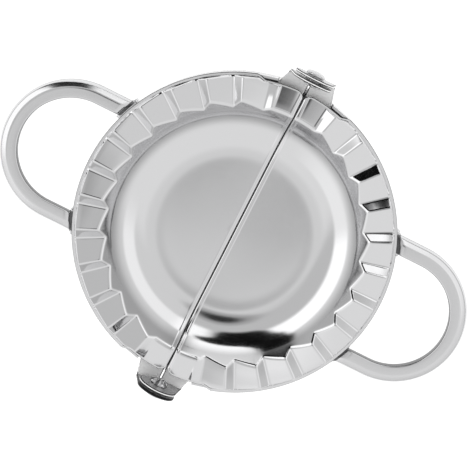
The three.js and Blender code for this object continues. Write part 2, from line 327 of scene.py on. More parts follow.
def add_node(
    tree: bpy.types.NodeTree, kind: str, settings: dict[str, str] | None = None, **links: object
) -> bpy.types.Node:
    """Adds a node with its settings, and links or sets its inputs.

    Args:
        tree: The tree that gets the node.
        kind: The node's type name.
        settings: Properties of the node itself.
        **links: Input name (spaces as underscores, or in_ and a number) to a socket or a value.

    Returns:
        The new node.
    """
    node = tree.nodes.new(kind)
    for name, value in (settings or {}).items():
        setattr(node, name, value)
    for name, value in links.items():
        key = int(name[3:]) if name.startswith("in_") else name.replace("_", " ")
        socket = node.inputs[key]
        if isinstance(value, bpy.types.NodeSocket):
            tree.links.new(value, socket)
        else:
            socket.default_value = value
    return node


def smooth(share: float) -> float:
    """A share from 0 to 1 that starts and ends gently."""
    kept = min(1.0, max(0.0, share))
    return kept * kept * (3 - 2 * kept)


def rounded_corner(
    before: tuple[float, ...], corner: tuple[float, ...], after: tuple[float, ...], radius: float, steps: int
) -> list[tuple[float, ...]]:
    """Rounds a corner of a path in a plane.

    Args:
        before: The path's point before the corner.
        corner: The corner.
        after: The point after it.
        radius: The radius of the round, made smaller where the legs are short.
        steps: How many pieces the round has.

    Returns:
        The points of the round, steps and one more of them.
    """
    c = np.array(corner, float)
    legs = [np.array(before, float) - c, np.array(after, float) - c]
    lengths = [float(np.linalg.norm(leg)) for leg in legs]
    ways = [leg / length for leg, length in zip(legs, lengths)]
    opening = math.acos(max(-1.0, min(1.0, float(ways[0] @ ways[1]))))
    bend = math.pi - opening
    back = min(radius * math.tan(bend / 2), LEG_SHARE * min(lengths))
    start, end = c + ways[0] * back, c + ways[1] * back
    made = []
    for i in range(steps + 1):
        t = i / steps
        made.append(tuple((1 - t) ** 2 * start + 2 * t * (1 - t) * c + t**2 * end))
    return made


# ---------------------------------------------------------------------------
# Finishes
# ---------------------------------------------------------------------------


@dataclass(frozen=True)
class SteelFinish:
    """A stainless steel surface, from how it was made: its tone, gloss, fine lines and waviness. Some finishes
    below paint light or shade into their tone instead.

    Spacings and depths are in millimetres. bare_metal is the share that mirrors as clean metal, and the rest
    scatters as a rubbed, dull skin does. The pattern of smudges shifts the roughness by its swing.
    """

    name: str
    tone: str
    roughness: float
    roughness_swing: float
    grain: Grain
    line_spacing: float
    line_depth: float
    ripple_size: float = 9.0
    ripple_depth: float = 0.0
    bare_metal: float = 1.0
    smudge_size: float = 14.0
    line_stretch: float = 6.0
    pattern_low: float = 0.6
    pattern_high: float = 1.4

    def material(self) -> bpy.types.Material:
        """Builds the finish's procedural material.

        Returns:
            The material, on Object coordinates.
        """
        made = bpy.data.materials.new(self.name)
        made.use_nodes = True
        tree = made.node_tree
        tree.nodes.clear()
        place = add_node(tree, "ShaderNodeTexCoord").outputs["Object"]
        lines = self._lines(tree, place)
        size = 1 / (self.smudge_size * MM)
        smudges = add_node(tree, "ShaderNodeTexNoise", Vector=place, Scale=size, Detail=4.0)
        mixed = add_node(tree, "ShaderNodeMath", ADD, in_0=lines, in_1=smudges.outputs["Fac"])
        rough = add_node(
            tree,
            "ShaderNodeMapRange",
            Value=mixed.outputs[0],
            From_Min=self.pattern_low,
            From_Max=self.pattern_high,
            To_Min=self.roughness - self.roughness_swing,
            To_Max=self.roughness + self.roughness_swing,
        )
        fine = add_node(tree, "ShaderNodeBump", Strength=1.0, Distance=self.line_depth * MM, Height=lines)
        size = 1 / (self.ripple_size * MM)
        wave = add_node(tree, "ShaderNodeTexNoise", Vector=place, Scale=size, Detail=1.0)
        ripple = add_node(
            tree,
            "ShaderNodeBump",
            Strength=1.0,
            Distance=self.ripple_depth * MM,
            Height=wave.outputs["Fac"],
            Normal=fine.outputs[0],
        )
        shader = add_node(
            tree,
            "ShaderNodeBsdfPrincipled",
            Base_Color=linear_colour(self.tone),
            Metallic=self.bare_metal,
            Roughness=rough.outputs["Result"],
            Normal=ripple.outputs[0],
        )
        add_node(tree, "ShaderNodeOutputMaterial", Surface=shader.outputs[0])
        return made

    def _lines(self, tree: bpy.types.NodeTree, place: bpy.types.NodeSocket) -> bpy.types.NodeSocket:
        """Draws the fine lines: noise, stretched along the grain where there is one.

        Args:
            tree: The material's tree.
            place: The Object coordinates.

        Returns:
            A height from 0 to 1.
        """
        if self.grain is Grain.NONE:
            size = 1 / (self.line_spacing * MM)
            return add_node(tree, "ShaderNodeTexNoise", Vector=place, Scale=size, Detail=3.0).outputs["Fac"]
        parts = add_node(tree, "ShaderNodeSeparateXYZ", Vector=place).outputs
        angle = add_node(tree, "ShaderNodeMath", ARCTAN2, in_0=parts[1], in_1=parts[0])
        across = parts[2]
        if self.grain is not Grain.ROUND_THE_SKIRT:
            sideways = parts[0]
            if self.grain is Grain.ALONG_THE_STRAP:
                size = add_node(tree, "ShaderNodeMath", {"operation": "ABSOLUTE"}, in_0=sideways)
                bend = SIZES.handle_bend_x * MM
                past = add_node(tree, "ShaderNodeMath", SUBTRACT, in_0=size.outputs[0], in_1=bend)
                clear = add_node(tree, "ShaderNodeMath", MAXIMUM, in_0=past.outputs[0], in_1=0.0)
                sideways = clear.outputs[0]
            flat = add_node(tree, "ShaderNodeCombineXYZ", X=sideways, Y=parts[1])
            across = add_node(tree, "ShaderNodeVectorMath", LENGTH, in_0=flat.outputs[0]).outputs["Value"]
        scaled = add_node(tree, "ShaderNodeMath", DIVIDE, in_0=across, in_1=self.line_spacing * MM)
        along = add_node(tree, "ShaderNodeMath", MULTIPLY, in_0=angle.outputs[0], in_1=self.line_stretch)
        spread = add_node(tree, "ShaderNodeCombineXYZ", X=scaled.outputs[0], Y=along.outputs[0], Z=parts[2])
        noise = add_node(tree, "ShaderNodeTexNoise", Vector=spread.outputs[0], Scale=1.0, Detail=2.0)
        return noise.outputs["Fac"]


# Real tool lines lie a few hundredths of a millimetre apart. That is too fine to show, so each spacing below
# is about ten times as coarse.

# Stainless sheet, bright annealed and deep drawn: the tools leave faint rings and the mirror goes soft.
PRESSED_STEEL = SteelFinish(
    "deep_drawn_bright_stainless", "#DADADB", 0.10, 0.03, Grain.ROUND_THE_BOWL, 0.5, 0.0006
)
# Stainless sheet cut and rolled to a wall: fine lines run round it.
ROLLED_STEEL = SteelFinish(
    "rolled_stainless_sheet", "#D8D8D9", 0.16, 0.04, Grain.ROUND_THE_SKIRT, 0.35, 0.0008
)
# Stainless strap, drawn through a die and tumbled: satin and a little wavy, with lines along it.
DRAWN_STEEL = SteelFinish(
    "drawn_satin_stainless", "#D6D6D7", 0.17, 0.06, Grain.ALONG_THE_STRAP, 0.45, 0.003, 5.0, 0.02
)
# Headed steel wire, tumbled: rivets that are bright, with a soft grey skin over half of the mirror.
HEADED_STEEL = SteelFinish(
    "headed_bright_steel", "#D8D8D9", 0.14, 0.04, Grain.NONE, 0.8, 0.001, bare_metal=0.5
)
# Stainless strip, punched and bent, with painted light: a near-white, mostly diffuse satin tone that keeps the
# ears' ledges light, standing in for the bright sky they would mirror.
LEDGE_LIGHT_STEEL = SteelFinish(
    "punched_satin_stainless", "#FDFDFD", 0.32, 0.05, Grain.NONE, 0.6, 0.0003, bare_metal=0.2
)
# Painted shade on the tongues' flat faces: a middle grey beside the pale ledges, where the upright tongues turn
# from the light.
TONGUE_SHADE_STEEL = SteelFinish(
    "blanked_grey_stainless", "#B4B4B5", 0.24, 0.06, Grain.NONE, 0.5, 0.0005, bare_metal=0.4
)
# Painted shade on the cut edges of the plates and the ears: a near-black finish that draws dark lines along the
# fold, round the rim and round each tongue, where the gaps between the parts lie in shade.
EDGE_SHADE_STEEL = SteelFinish("oil_dark_sheared_stainless", "#262627", 0.4, 0.06, Grain.NONE, 0.3, 0.001)
# Painted shade on the strap's sides and ends and on the rivets' seats and crimp valleys: dull and dark, they
# outline each piece.
SIDE_SHADE_STEEL = SteelFinish("sheared_dull_stainless", "#6C6C6D", 0.34, 0.06, Grain.NONE, 0.3, 0.002)


# ---------------------------------------------------------------------------
# Plates
# ---------------------------------------------------------------------------


@dataclass
class PleatedPlate:
    """One half's pressed sheet: half bowl, pleated rim and border, with a turned-down edge along the fold.

    Columns of the mesh run outwards, at nominal angles from the middle of the rim. The last ones, from
    fan_start_deg on, fan out so that they end on the straight fold. Sizes that start with slit_ say where the
    sheet gives way to the dark slit beside each hinge.
    """

    half: Half
    finish: bpy.types.Material
    # The near-black finish that paints shade on the sheet's cut edge, along the fold and round the rim.
    cut_finish: bpy.types.Material
    pleat_count: int = 13
    pitch_deg: float = 13.0
    strip_deg: float = 3.7
    end_strip_deg: float = 3.1
    pleat_rise: float = 2.2
    end_panel_fall: float = 1.02
    panel_edge_fall: float = 0.45
    panel_ease_deg: float = 1.3
    fold_round_deg: float = 0.75
    border_width: float = 0.8
    face_drop_width: float = 0.5
    face_length: float = 7.8
    face_swing: float = 1.9
    wall_r: float = 18.0
    wall_deg: float = 49.3
    ease_deg: float = 10.0
    zigzag_round: float = 2.0
    face_end_round: float = 0.35
    border_round: float = 0.25
    rim_round: float = 0.5
    lower_round_share: float = 1 / 3
    edge_share: float = 0.5
    upper_edge_share: float = 0.75
    lower_edge_share: float = 0.9
    fold_cut: float = 0.06
    cut_steep: float = 0.96
    cut_share: float = 0.8
    slit_taper_deg: float = 3.5
    slit_rim: float = 1.35
    slit_face: float = 0.78
    slit_border: float = 1.08
    slit_lift: float = 0.25
    floor_tilt: float = 0.02
    floor_middle_x: float = 11.0
    tilt_start_r: float = 12.0
    tilt_fade: float = 26.0
    fan_start_deg: float = 80.0
    fan_start_r: float = 24.0
    fan_width: float = 10.0
    outline_share: float = 0.98
    lip_width: float = 1.5
    lip_edge: float = 0.7
    lip_depth: float = 0.45
    ridge_start: float = 0.1
    ridge_width: float = 0.55
    ridge_height: float = 0.06
    corner_r: float = 2.5
    sharp_deg: float = 40.0
    widest_column_deg: float = 1.9
    end_columns_deg: float = 4.5
    end_columns: int = 11
    blend_columns: int = 13
    ease_steps: int = 9
    wall_steps: int = 26
    ridge_steps: int = 8
    lip_steps: int = 7
    corner_steps: tuple[int, ...] = (8, 4, 4, 4)
    fold_shares: tuple[float, ...] = (-0.75, -0.5, -0.25, 0.0, 0.25, 0.5, 0.75)
    slit_shares: tuple[float, ...] = (0.0, 0.2, 0.5, 0.8)
    floor_shares: tuple[float, ...] = (0.0, 0.04, 0.1, 0.2, 0.33, 0.5, 0.67, 0.84, 1.0)
    face_shares: tuple[float, ...] = (0.4, 0.6, 0.8)

    def build(self) -> bpy.types.Object:
        """Makes the plate's closed sheet and dresses it.

        Returns:
            The dressed plate.
        """
        shell = Shell()
        upper = shell.sheet(self._surface(is_upper=True))
        lower = shell.sheet(self._surface(is_upper=False))
        shell.band(upper[-1], lower[-1])
        for side in (0, -1):
            shell.band([row[side] for row in upper], [row[side] for row in lower])
        piece = shell.piece(f"{self.half.word}_pleated_plate", self.half, self.sharp_deg)
        dress(piece, self.half.body, "pleated_plate", self.finish, f"{self.half.word}_plate")
        dull_faces(piece, self.cut_finish, self._is_cut)
        return piece

    @property
    def _edge_x(self) -> float:
        """Distance from the fold's middle at which the ridge and the turned-down edge start."""
        return SIZES.fold_x + self.lip_width

    @property
    def _corner(self) -> tuple[float, float]:
        """Middle of the round at the plate's corner, where the fold meets the rim."""
        x = SIZES.fold_x + self.corner_r
        return x, math.sqrt((SIZES.rim_r - self.corner_r) ** 2 - x**2)

    def _is_cut(self, middle: Vector, way: Vector) -> bool:
        """Tells the sheet's sheared edge, along the fold and round the rim, which gets the near-black painted
        shade.

        Args:
            middle: The face's middle, in millimetres.
            way: The face's direction.

        Returns:
            Whether the face belongs to the edge.
        """
        if abs(middle.x) < SIZES.fold_x + self.fold_cut:
            return True
        radius = middle.xy.length
        is_by_slit = abs(middle.x) < radius * math.sin(math.radians(SIZES.slit_deg))
        outline = SIZES.rim_r - (self.slit_rim if is_by_slit else 0.0)
        top = SIZES.border_z + (self.slit_lift if is_by_slit else 0.0)
        return radius > outline - self.cut_share * self.rim_round and way.z < self.cut_steep and middle.z < top

    def _folds(self) -> np.ndarray:
        """Lists where the rim's level changes.

        Returns:
            Rows of a rising nominal angle in degrees, the level there and its fall outward.
        """
        high = self.pleat_rise / 2
        last = self.pleat_count - 1
        panel_edge, panel = (0.0, self.panel_edge_fall), (0.0, self.end_panel_fall)
        panel_start = last / 2 * self.pitch_deg + self.end_strip_deg / 2 + self.panel_ease_deg
        folds = [(90.0, *panel), (panel_start, *panel)]
        for i in range(self.pleat_count):
            middle = (last / 2 - i) * self.pitch_deg
            half_width = (self.end_strip_deg if i in (0, last) else self.strip_deg) / 2
            folds.append((middle + half_width, *(panel_edge if i == 0 else (-high, 0.0))))
            folds.append((middle - half_width, *(panel_edge if i == last else (high, 0.0))))
        folds.extend(((-panel_start, *panel), (-90.0, *panel)))
        return np.array(folds[::-1])

    def _line(self, angle: float) -> tuple[float, float, float]:
        """Blends the folds round one column, as a press leaves them round.

        Args:
            angle: The column's nominal angle, in degrees.

        Returns:
            The pleats' level, their fall outward, and how open the slit outside them is, from 0 to 1.
        """
        folds = self._folds()
        window = angle + np.linspace(-0.5, 0.5, self.blend_columns) * self.fold_round_deg
        level, fall = (float(np.interp(window, folds[:, 0], folds[:, k]).mean()) for k in (1, 2))
        into = (abs(angle) - 90 + SIZES.slit_deg) / self.slit_taper_deg
        return level, fall, smooth(into)

    def _columns(self) -> list[float]:
        """Spaces the mesh's columns, close together where the sheet bends.

        Returns:
            Their nominal angles in degrees, rising.
        """
        marks = {-90.0, 90.0}
        for angle in self._folds()[1:-1, 0]:
            marks.update(angle + share * 2 * self.fold_round_deg for share in self.fold_shares)
        for share in np.linspace(0, 1, self.end_columns):
            marks.update((90 - self.end_columns_deg * share, -90 + self.end_columns_deg * share))
        for share in self.slit_shares:
            slit = 90 - SIZES.slit_deg + share * self.slit_taper_deg
            marks.update((slit, -slit))
        rising = sorted(marks)
        filled = [rising[0]]
        for mark in rising[1:]:
            extra = math.ceil((mark - filled[-1]) / self.widest_column_deg)
            filled.extend(float(a) for a in np.linspace(filled[-1], mark, extra + 1)[1:])
        return filled

    def _profile(
        self, level: float, fall: float, slit: float, is_upper: bool
    ) -> list[tuple[float, float, float]]:
        """Draws the sheet's surface along a column, from the middle outwards.

        Args:
            level: The pleats' level on this line.
            fall: How much lower the face's outer end lies than its inner end.
            slit: How open the slit outside the rim is, from 0 to 1.
            is_upper: Whether it is the upper surface.

        Returns:
            Radius, height, and how far the point moves with the outline, from 0 to 1.
        """
        thick = 0.0 if is_upper else SIZES.sheet
        mid = SIZES.pleat_mid_z
        rim = SIZES.rim_r - self.slit_rim * slit
        border_r = SIZES.rim_r - self.border_width - self.slit_border * slit
        face_r = SIZES.rim_r - self.border_width - self.face_drop_width
        middle_r = face_r - self.face_length
        face_r -= self.slit_face * slit
        inner_r = middle_r + self.face_swing * level / self.pleat_rise
        border_z = SIZES.border_z + self.slit_lift * slit
        path = self._bowl(middle_r, thick)
        corners = [(inner_r, mid + level), (face_r, mid + level - fall), (border_r, border_z)]
        if not is_upper:
            corners = self._offset(path[-1], corners, thick)
        corners.append((rim, border_z - thick))
        ends = [path[-1], *corners, (rim, border_z - SIZES.sheet * self.edge_share)]
        rim_round = self.rim_round * (1.0 if is_upper else self.lower_round_share)
        rounds = (self.zigzag_round, self.face_end_round, self.border_round, rim_round)
        for i, corner in enumerate(corners):
            path.extend(rounded_corner(ends[i], corner, ends[i + 2], rounds[i], self.corner_steps[i]))
            if i == 0:
                path.extend(tuple(np.array(corner) * (1 - t) + np.array(ends[2]) * t) for t in self.face_shares)
        edge_share = self.upper_edge_share if is_upper else self.lower_edge_share
        path.append((rim, border_z - SIZES.sheet * edge_share))
        return [(r, z, min(1.0, max(0.0, (r - inner_r) / (face_r - inner_r)))) for r, z in path]

    def _bowl(self, middle_r: float, thick: float) -> list[tuple[float, ...]]:
        """Draws the bowl's flat floor, its soft start and its wall, to where the wall runs straight.

        Args:
            middle_r: The radius at which the wall would reach the pleats' middle level.
            thick: How far the surface lies below the upper one.

        Returns:
            Radius and height of each point.
        """
        slope, ease = math.radians(self.wall_deg), math.radians(self.ease_deg)
        straight = SIZES.pleat_mid_z - SIZES.floor_z - self.wall_r * (1 - math.cos(slope))
        floor_r = middle_r - straight / math.tan(slope) - self.wall_r * math.sin(slope)
        arc_r = self.wall_r + thick
        arc_z = SIZES.floor_z + self.wall_r
        length = 2 * ease * arc_r
        rise = math.tan(ease) * length / 3
        flat_r = floor_r + arc_r * math.sin(ease) - length
        flat_z = arc_z - arc_r * math.cos(ease) - rise
        start = self._edge_x
        path = [(start + (flat_r - start) * share, flat_z) for share in self.floor_shares]
        for share in np.linspace(0, 1, self.ease_steps + 1)[1:]:
            path.append((flat_r + length * share, flat_z + rise * share**3))
        for a in np.linspace(ease, slope, self.wall_steps + 1)[1:]:
            path.append((floor_r + arc_r * math.sin(a), arc_z - arc_r * math.cos(a)))
        return path

    @staticmethod
    def _offset(
        before: tuple[float, ...], corners: list[tuple[float, float]], thick: float
    ) -> list[tuple[float, float]]:
        """Moves a path's corners to the sheet's lower side.

        Args:
            before: The path's point before the first corner.
            corners: The upper side's corners.
            thick: The sheet's thickness.

        Returns:
            The lower side's corners.
        """
        chain = [before, *corners, (corners[-1][0] + 1, corners[-1][1])]
        moved = []
        for last, this, following in zip(chain, chain[1:], chain[2:]):
            into = math.atan2(this[1] - last[1], this[0] - last[0])
            out = math.atan2(following[1] - this[1], following[0] - this[0])
            slope = (into + out) / 2
            moved.append((this[0] + thick * math.sin(slope), this[1] - thick * math.cos(slope)))
        return moved

    def _outline_r(self, angle: float) -> float:
        """Measures the plate's outline, which is round but for its corners.

        Args:
            angle: The angle from the middle of the rim, in radians.

        Returns:
            The distance from the press's middle to the outline.
        """
        corner_x, corner_y = self._corner
        if abs(angle) < math.atan2(corner_y, corner_x):
            return SIZES.rim_r
        along = corner_x * math.cos(angle) + corner_y * abs(math.sin(angle))
        return along + math.sqrt(along**2 - corner_x**2 - corner_y**2 + self.corner_r**2)

    def _outline_y(self, x: float) -> float:
        """How far along the fold the corner's round reaches, at a distance from the fold's middle."""
        corner_x, corner_y = self._corner
        return corner_y + math.sqrt(self.corner_r**2 - (corner_x - x) ** 2)

    def _surface(self, is_upper: bool) -> list[list[Point]]:
        """Draws the upper or the lower surface.

        Args:
            is_upper: Whether it is the upper one.

        Returns:
            Rows of points, each from the front end of the fold to the rear.
        """
        columns = self._columns()
        profiles = [self._profile(*self._line(angle), is_upper) for angle in columns]
        rows = []
        for places in zip(*profiles):
            row = [self._placed(angle, *place) for angle, place in zip(columns, places)]
            front = self._lip(row[0], places[0][2], is_upper)
            rear = self._lip(row[-1], places[-1][2], is_upper)
            rows.append(front[::-1] + row + rear)
        return rows

    def _placed(self, angle: float, r: float, z: float, share: float) -> Point:
        """Places a profile's point on its column, with the corner's outline and the floor's tilt.

        Args:
            angle: The column's nominal angle, in degrees.
            r: The point's radius.
            z: Its height.
            share: How far it moves with the outline, from 0 to 1.

        Returns:
            The point.
        """
        turned = self._turned(angle, r)
        r += (self._outline_r(self._turned(angle, self.outline_share * SIZES.rim_r)) - SIZES.rim_r) * share
        x = r * math.cos(turned)
        if abs(angle) >= 90:
            x = max(x, self._edge_x)
        faded = 1 - smooth((r - self.tilt_start_r) / self.tilt_fade)
        z += self.floor_tilt * (x - self.floor_middle_x) * faded
        return x, math.copysign(math.sqrt(max(r * r - x * x, 0.0)), angle), z

    def _turned(self, angle: float, r: float) -> float:
        """Turns a column so that the last ones lie on the fold's edge.

        Args:
            angle: The column's nominal angle, in degrees.
            r: The radius at which it is wanted.

        Returns:
            The column's true angle there, in radians.
        """
        widest = math.degrees(math.acos(min(1.0, self._edge_x / r)))
        scaled = angle * widest / 90
        kept, size = self.fan_start_deg, abs(angle)
        fanned = size if size < kept else kept + (size - kept) * (widest - kept) / (90 - kept)
        share = min(1.0, max(0.0, (r - self.fan_start_r) / self.fan_width))
        return math.radians(scaled * (1 - share) + math.copysign(fanned, angle) * share)

    def _lip(self, end: Point, share: float, is_upper: bool) -> list[Point]:
        """Draws the low ridge and the turned-down edge beyond a row's end, towards the fold.

        Args:
            end: The row's last point.
            share: How far it moves with the outline, from 0 to 1.
            is_upper: Whether it is on the upper surface.

        Returns:
            The points, from the row's end on.
        """
        path = []
        for part in np.linspace(0, 1, self.ridge_steps + 1)[1:]:
            rise = self.ridge_height * math.sin(math.pi * part) ** 2
            path.append((self.ridge_start + self.ridge_width * part, rise))
        for turn in np.linspace(0, QUARTER_TURN, self.lip_steps + 1):
            fall = self.lip_depth * (1 - math.cos(turn))
            path.append((self.lip_width - self.lip_edge * (1 - math.sin(turn)), -fall))
        made = []
        for along, rise in path:
            x = end[0] - along
            y = abs(end[1]) + (self._outline_y(x) - self._outline_y(end[0])) * share
            made.append((x, math.copysign(y, end[1]), end[2] + (rise if is_upper else 0.0)))
        return made


# ---------------------------------------------------------------------------
# Skirts
# ---------------------------------------------------------------------------


@dataclass
class CutterSkirt:
    """One half's cutter wall: notched where the ears stand, lowered along the slits, rounded at its edges."""

    half: Half
    finish: bpy.types.Material
    notch_half: float = 8.9
    notch_z: float = 3.0
    slit_gap: float = 0.5
    slit_ramp_deg: float = 0.35
    edge_round: float = 0.22
    round_near_share: float = 0.29
    columns: int = 150
    sharp_deg: float = 35.0

    def build(self) -> bpy.types.Object:
        """Makes the wall as one run of closed sections and dresses it.

        Returns:
            The dressed skirt.
        """
        shell = Shell()
        shell.bar([self._section(angle, top) for angle, top in self._stations()])
        piece = shell.piece(f"{self.half.word}_cutter_skirt", self.half, self.sharp_deg)
        dress(piece, self.half.body, "polished_sheet", self.finish, f"{self.half.word}_skirt")
        return piece

    def _stations(self) -> list[tuple[float, float]]:
        """Spaces the sections, with a pair at each step of the top.

        Returns:
            Angle in degrees and top level of each.
        """
        end = math.degrees(math.acos(SIZES.fold_x / SIZES.skirt_inner_r))
        notch = 90 - math.degrees(math.asin(self.notch_half / SIZES.skirt_r))
        slit = 90 - SIZES.slit_deg
        top, slit_z = SIZES.skirt_top_z, SIZES.skirt_top_z - self.slit_gap
        right = [(slit, top), (slit + self.slit_ramp_deg, slit_z), (notch, slit_z)]
        right += [(notch, self.notch_z), (end, self.notch_z)]
        middle = [(float(a), top) for a in np.linspace(-slit, slit, self.columns)[1:-1]]
        return [(-a, level) for a, level in right[::-1]] + middle + right

    def _section(self, angle: float, top: float) -> list[Point]:
        """Draws the wall's section.

        Args:
            angle: The angle from the middle of the rim, in degrees.
            top: The level that the wall reaches.

        Returns:
            The section's points.
        """
        outer, inner, soft = SIZES.skirt_r, SIZES.skirt_inner_r, self.edge_round
        near = soft * self.round_near_share
        outline = [
            (inner + soft, 0.0),
            (outer - soft, 0.0),
            (outer - near, near),
            (outer, soft),
            (outer, top - soft / 2),
            (outer - soft / 2, top),
            (inner + soft / 2, top),
            (inner, top - soft / 2),
            (inner, soft),
            (inner + near, near),
        ]
        turn = math.radians(angle)
        return [(r * math.cos(turn), r * math.sin(turn), z) for r, z in outline]


# ---------------------------------------------------------------------------
# Hinge
# ---------------------------------------------------------------------------


@dataclass
class HingeEar:
    """One ear, taken from its solid: foot, ledge and upright tongue, with bends and cut edges softened.

    The ledge is lifted nearly level and drawn in under the plate's rim. Sizes that end in _steep or _side are
    shares of a face's direction, and pick the faces that get painted shade: grey on the tongues, near black on
    the edges.
    """

    half: Half
    finish: bpy.types.Material
    face_finish: bpy.types.Material
    cut_finish: bpy.types.Material
    is_outer: bool
    edge_round: float = 0.24
    edge_steps: int = 2
    bend_round: float = 0.8
    bend_steps: int = 5
    flat_deg: float = 1.5
    flat_area: float = 3.0
    ledge_rise: float = 1.6
    front_rise: float = 1.0
    rear_rise: float = 0.5
    ledge_reach: float = 0.4
    front_under: float = 2.2
    rear_under: float = 1.45
    foot_z: float = 3.25
    butt_z: float = 3.3
    bend_z: float = 4.5
    tongue_z: float = 6.0
    bend_far: float = 49.0
    bend_length: float = 4.0
    bend_play: float = 0.1
    cut_deg: float = 40.0
    face_steep: float = 0.8
    front_steep: float = 0.85
    soft_least_steep: float = 0.25
    soft_most_steep: float = 0.96
    ledge_side: float = 0.3
    sharp_deg: float = 35.0

    def build(self, nodes: dict[str, bpy.types.Object]) -> bpy.types.Object:
        """Copies the ear's solid, rounds its bend and edges, and dresses it.

        Args:
            nodes: The CAD nodes by name.

        Returns:
            The dressed ear.
        """
        kind = "outer" if self.is_outer else "inner"
        node = f"{self.half.word}_{kind}_hinge_ear"
        mesh = nodes[node].data.copy()
        work = bmesh.new()
        work.from_mesh(mesh)
        bmesh.ops.remove_doubles(work, verts=work.verts, dist=MERGE_MM * MM)
        bmesh.ops.dissolve_limit(
            work,
            verts=work.verts,
            edges=work.edges,
            angle_limit=math.radians(self.flat_deg),
            delimit=set(),
        )
        self._level(work)
        self._soften(work)
        work.to_mesh(mesh)
        work.free()
        piece = finished_piece(f"{self.half.word}_{kind}_ear", mesh, self.sharp_deg)
        for face in piece.data.polygons:
            face.use_smooth = face.area < self.flat_area * MM * MM
        dress(piece, self.half.body, "polished_sheet", self.finish, node)
        dull_faces(piece, self.face_finish, self._is_tongue_face)
        dull_faces(piece, self.cut_finish, self._is_edge)
        return piece

    def _level(self, work: bmesh.types.BMesh) -> None:
        """Lifts the ledge's inner end nearly level, and draws it in under the plate's rim.

        Args:
            work: The ear's mesh.
        """
        face = SIZES.outer_ear_face if self.is_outer else SIZES.inner_ear_face
        for vert in work.verts:
            far, z = abs(vert.co.y) / MM, vert.co.z / MM
            if not (self.foot_z < z < self.tongue_z and far < face):
                continue
            is_front = vert.co.y < 0
            kept = self.front_rise if is_front else self.rear_rise
            share = min(1.0, (face - far) / (face - SIZES.skirt_r))
            vert.co.z += (self.ledge_rise - kept) * share * MM
            radius = math.hypot(vert.co.x, vert.co.y) / MM
            if radius < SIZES.skirt_r + self.ledge_reach:
                drawn_in = 1 - (self.front_under if is_front else self.rear_under) / radius
                vert.co.x *= drawn_in
                vert.co.y *= drawn_in

    def _soften(self, work: bmesh.types.BMesh) -> None:
        """Rounds the bend between ledge and tongue, then each cut edge.

        The cut edges' round isn't clamped, because one short edge would take it from all the others.

        Args:
            work: The ear's mesh.
        """
        bends = [e for e in work.edges if self._is_bend(e)]
        bmesh.ops.bevel(
            work,
            geom=bends,
            offset=self.bend_round * MM,
            segments=self.bend_steps,
            affect="EDGES",
            profile=0.5,
            clamp_overlap=True,
        )
        bmesh.ops.bevel(
            work,
            geom=[e for e in work.edges if self._is_cut(e)],
            offset=self.edge_round * MM,
            segments=self.edge_steps,
            affect="EDGES",
            profile=0.5,
            clamp_overlap=False,
        )

    def _is_bend(self, edge: bmesh.types.BMEdge) -> bool:
        """Tells the long edges between ledge and tongue.

        Args:
            edge: An edge of the ear.

        Returns:
            Whether it is one of them.
        """
        a, b = edge.verts[0].co / MM, edge.verts[1].co / MM
        is_long = abs(a.x - b.x) > self.bend_length
        is_level = abs(a.y - b.y) < self.bend_play and abs(a.z - b.z) < self.bend_play
        return is_long and is_level and self.bend_z < a.z < self.tongue_z and abs(a.y) > self.bend_far

    def _is_cut(self, edge: bmesh.types.BMEdge) -> bool:
        """Tells the cut edges, apart from those where the ear's foot meets the skirt.

        Args:
            edge: An edge of the ear.

        Returns:
            Whether it is one of them.
        """
        if len(edge.link_faces) != 2 or edge.calc_face_angle(0) <= math.radians(self.cut_deg):
            return False
        return max(vert.co.z / MM for vert in edge.verts) >= self.butt_z

    def _is_tongue_face(self, middle: Vector, way: Vector) -> bool:
        """Whether a face is one of the tongue's two flat sides, which get the grey painted shade."""
        return abs(way.y) > self.face_steep and middle.z > self.tongue_z

    def _is_edge(self, middle: Vector, way: Vector) -> bool:
        """Tells the faces that get the near-black painted shade: the softened edges, and the outer tongue's
        edge in front, where the gap between the tongues lies in shade.

        Args:
            middle: The face's middle, in millimetres.
            way: The face's direction.

        Returns:
            Whether the face lies on one of them.
        """
        if middle.z < self.tongue_z:
            return abs(way.x) > self.ledge_side and way.z > self.ledge_side
        is_soft = self.soft_least_steep < abs(way.y) < self.soft_most_steep
        return is_soft or (self.is_outer and middle.y < 0 and abs(way.y) < self.front_steep)


